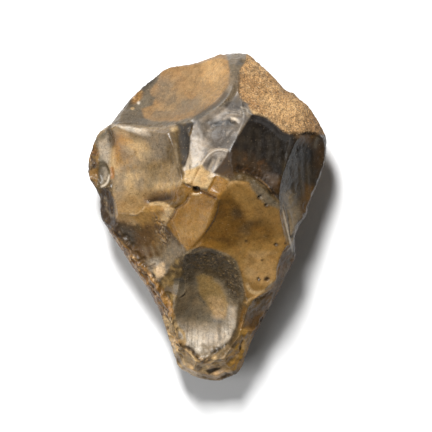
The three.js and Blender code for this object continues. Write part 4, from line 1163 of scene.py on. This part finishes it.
def flintMaterial():
    material = bpy.data.materials.new("flint")
    n = Nodes(material)
    place = n.add("TexCoord", {}, {}, "Object")
    stain = n.add("Attribute", {"attribute_name": "stain"}, {}, "Color")
    finish = n.add("Attribute", {"attribute_name": "finish"}, {}, "Vector")
    parts = n.add("SeparateXYZ", {}, {0: finish}, 0)
    split = parts.socket.node
    dull, crust, speck = (Value(n, split.outputs[i]) for i in range(3))

    # tone changes from broad clouds down to single grains
    mottle = n.noise(place, flintLook["mottle"][0], 4, 0.6, 0.6) - 0.5
    fleck = n.noise(place, flintLook["fleck"][0], 3, 0.6) - 0.5
    grain = n.noise(place, flintLook["grain"][0], 2, 0.6) - 0.5
    tone = 1 + mottle * flintLook["mottle"][1] * 2 + fleck * (speck + 0.4) * flintLook["fleck"][1] * 2
    tone = tone + grain * (speck * 0.6 + crust * 0.5 + 0.3) * flintLook["grain"][1] * 2
    cell = n.cells(place, flintLook["grit"][0], "F1", "Color")
    shade = n.add("SeparateXYZ", {}, {0: cell}, 0)
    gritTone = 1 + (shade - 0.42) * crust * flintLook["grit"][1] * 1.6
    tone = tone * gritTone
    grey = n.add("CombineXYZ", {}, {0: tone, 1: tone, 2: tone})
    colour = n.blend(1.0, stain, grey, "MULTIPLY")

    # warm and cool drift, so that no patch is one hue
    drift = n.noise(place, flintLook["drift"][0], 3, 0.6).between(0.35, 0.7)
    warmer = n.blend(1.0, colour, flintLook["warm"], "MULTIPLY")
    colour = n.blend(drift * flintLook["drift"][1], colour, warmer)

    # dark and pale specks
    darkSpeck = n.cells(place, flintLook["darkSpeck"][0]).between(0.22, 0.10) * speck
    colour = n.blend(darkSpeck * flintLook["darkSpeck"][1], colour, flintLook["darkColour"])
    pale = n.noise(place, flintLook["paleSpeck"][0], 2, 0.5)
    paleSpeck = pale.between(0.66, 0.74) * speck + pale.between(0.56, 0.68) * crust * 0.8
    colour = n.blend(paleSpeck * flintLook["paleSpeck"][1], colour, flintLook["paleColour"])
    n.feed(n.shader, "Base Color", colour)

    n.feed(n.shader, "Roughness", dull + fleck * 0.22 + grain * 0.16)
    n.shader.inputs["IOR"].default_value = flintLook["ior"]
    n.shader.inputs["Specular IOR Level"].default_value = flintLook["shine"]

    gritHeight = n.cells(place, flintLook["gritHeight"]) * crust
    height = mottle * 0.5 + fleck * 0.16 + grain * 0.05 * (1 + speck * 2) - gritHeight * 0.5
    bump = n.add("Bump", {}, {"Height": height, "Distance": flintLook["bump"], "Strength": 1.0})
    n.feed(n.shader, "Normal", bump)
    return material


blank = flintBlank()
print("blank", len(blank.vertices), "vertices")
shapeTop(Surface(blank))
shapeRim(blank)
shapeUnderside(blank)
print("sculpted")
skinMesh = thinnedUnderside(blank)
print("thinned", sum(len(p.vertices) - 2 for p in skinMesh.polygons), "triangles")
axe = bpy.data.objects.new("handAxe", skinMesh)
bpy.context.scene.collection.objects.link(axe)
for polygon in skinMesh.polygons:
    polygon.use_smooth = True
stained(skinMesh)
print("stained")

skinMesh.materials.clear()
skinMesh.materials.append(flintMaterial())
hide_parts("hand_axe")
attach(axe, "root")

studio = {
    "view": 0.1771,           # width of what the camera sees
    "viewHeight": 0.022,      # how far above the floor it sees that width
    "distance": 3.0,
    "middle": (3.69 * mm, 0.62 * mm),
    "key": {"bearing": 105, "height": 55, "distance": 0.9, "width": 0.16, "depth": 0.30, "radiance": 108},
    "fill": {"bearing": -152, "height": 50, "distance": 0.9, "width": 0.5, "depth": 0.5, "radiance": 4.6},
    "world": 0.10,
    "floorSize": 4,
    "floorTone": (0.74, 0.74, 0.74, 1),
    "floorRoughness": 0.9,
}


def softbox(name, bearing, height, distance, width, depth, radiance):
    light = bpy.data.lights.new(name, "AREA")
    light.shape = "RECTANGLE"
    light.size = width
    light.size_y = depth
    light.energy = radiance * math.pi * width * depth
    lamp = bpy.data.objects.new(name, light)
    bpy.context.scene.collection.objects.link(lamp)
    around, up = math.radians(bearing), math.radians(height)
    flat = math.cos(up)
    place = Vector((math.cos(around) * flat, math.sin(around) * flat, math.sin(up))) * distance
    lamp.location = place
    lamp.rotation_euler = place.to_track_quat("Z", "Y").to_euler()


def setStudio():
    scene = bpy.context.scene
    camera = bpy.data.cameras.new("Camera")
    camera.sensor_width = 36
    camera.lens = camera.sensor_width * (studio["distance"] - studio["viewHeight"]) / studio["view"]
    eye = bpy.data.objects.new("Camera", camera)
    scene.collection.objects.link(eye)
    eye.location = (*studio["middle"], studio["distance"])
    scene.camera = eye
    softbox("key", **studio["key"])
    softbox("fill", **studio["fill"])
    world = bpy.data.worlds.new("studio")
    scene.world = world
    world.use_nodes = True
    sky = world.node_tree.nodes["Background"]
    sky.inputs["Color"].default_value = (1, 1, 1, 1)
    sky.inputs["Strength"].default_value = studio["world"]
    bpy.ops.mesh.primitive_plane_add(size=studio["floorSize"])
    floor = bpy.context.object
    floor.name = "floor"
    pale = bpy.data.materials.new("paleFloor")
    pale.use_nodes = True
    shader = pale.node_tree.nodes["Principled BSDF"]
    shader.inputs["Base Color"].default_value = studio["floorTone"]
    shader.inputs["Roughness"].default_value = studio["floorRoughness"]
    floor.data.materials.append(pale)
    scene.view_settings.view_transform = "Standard"


setStudio()
print("studio set")
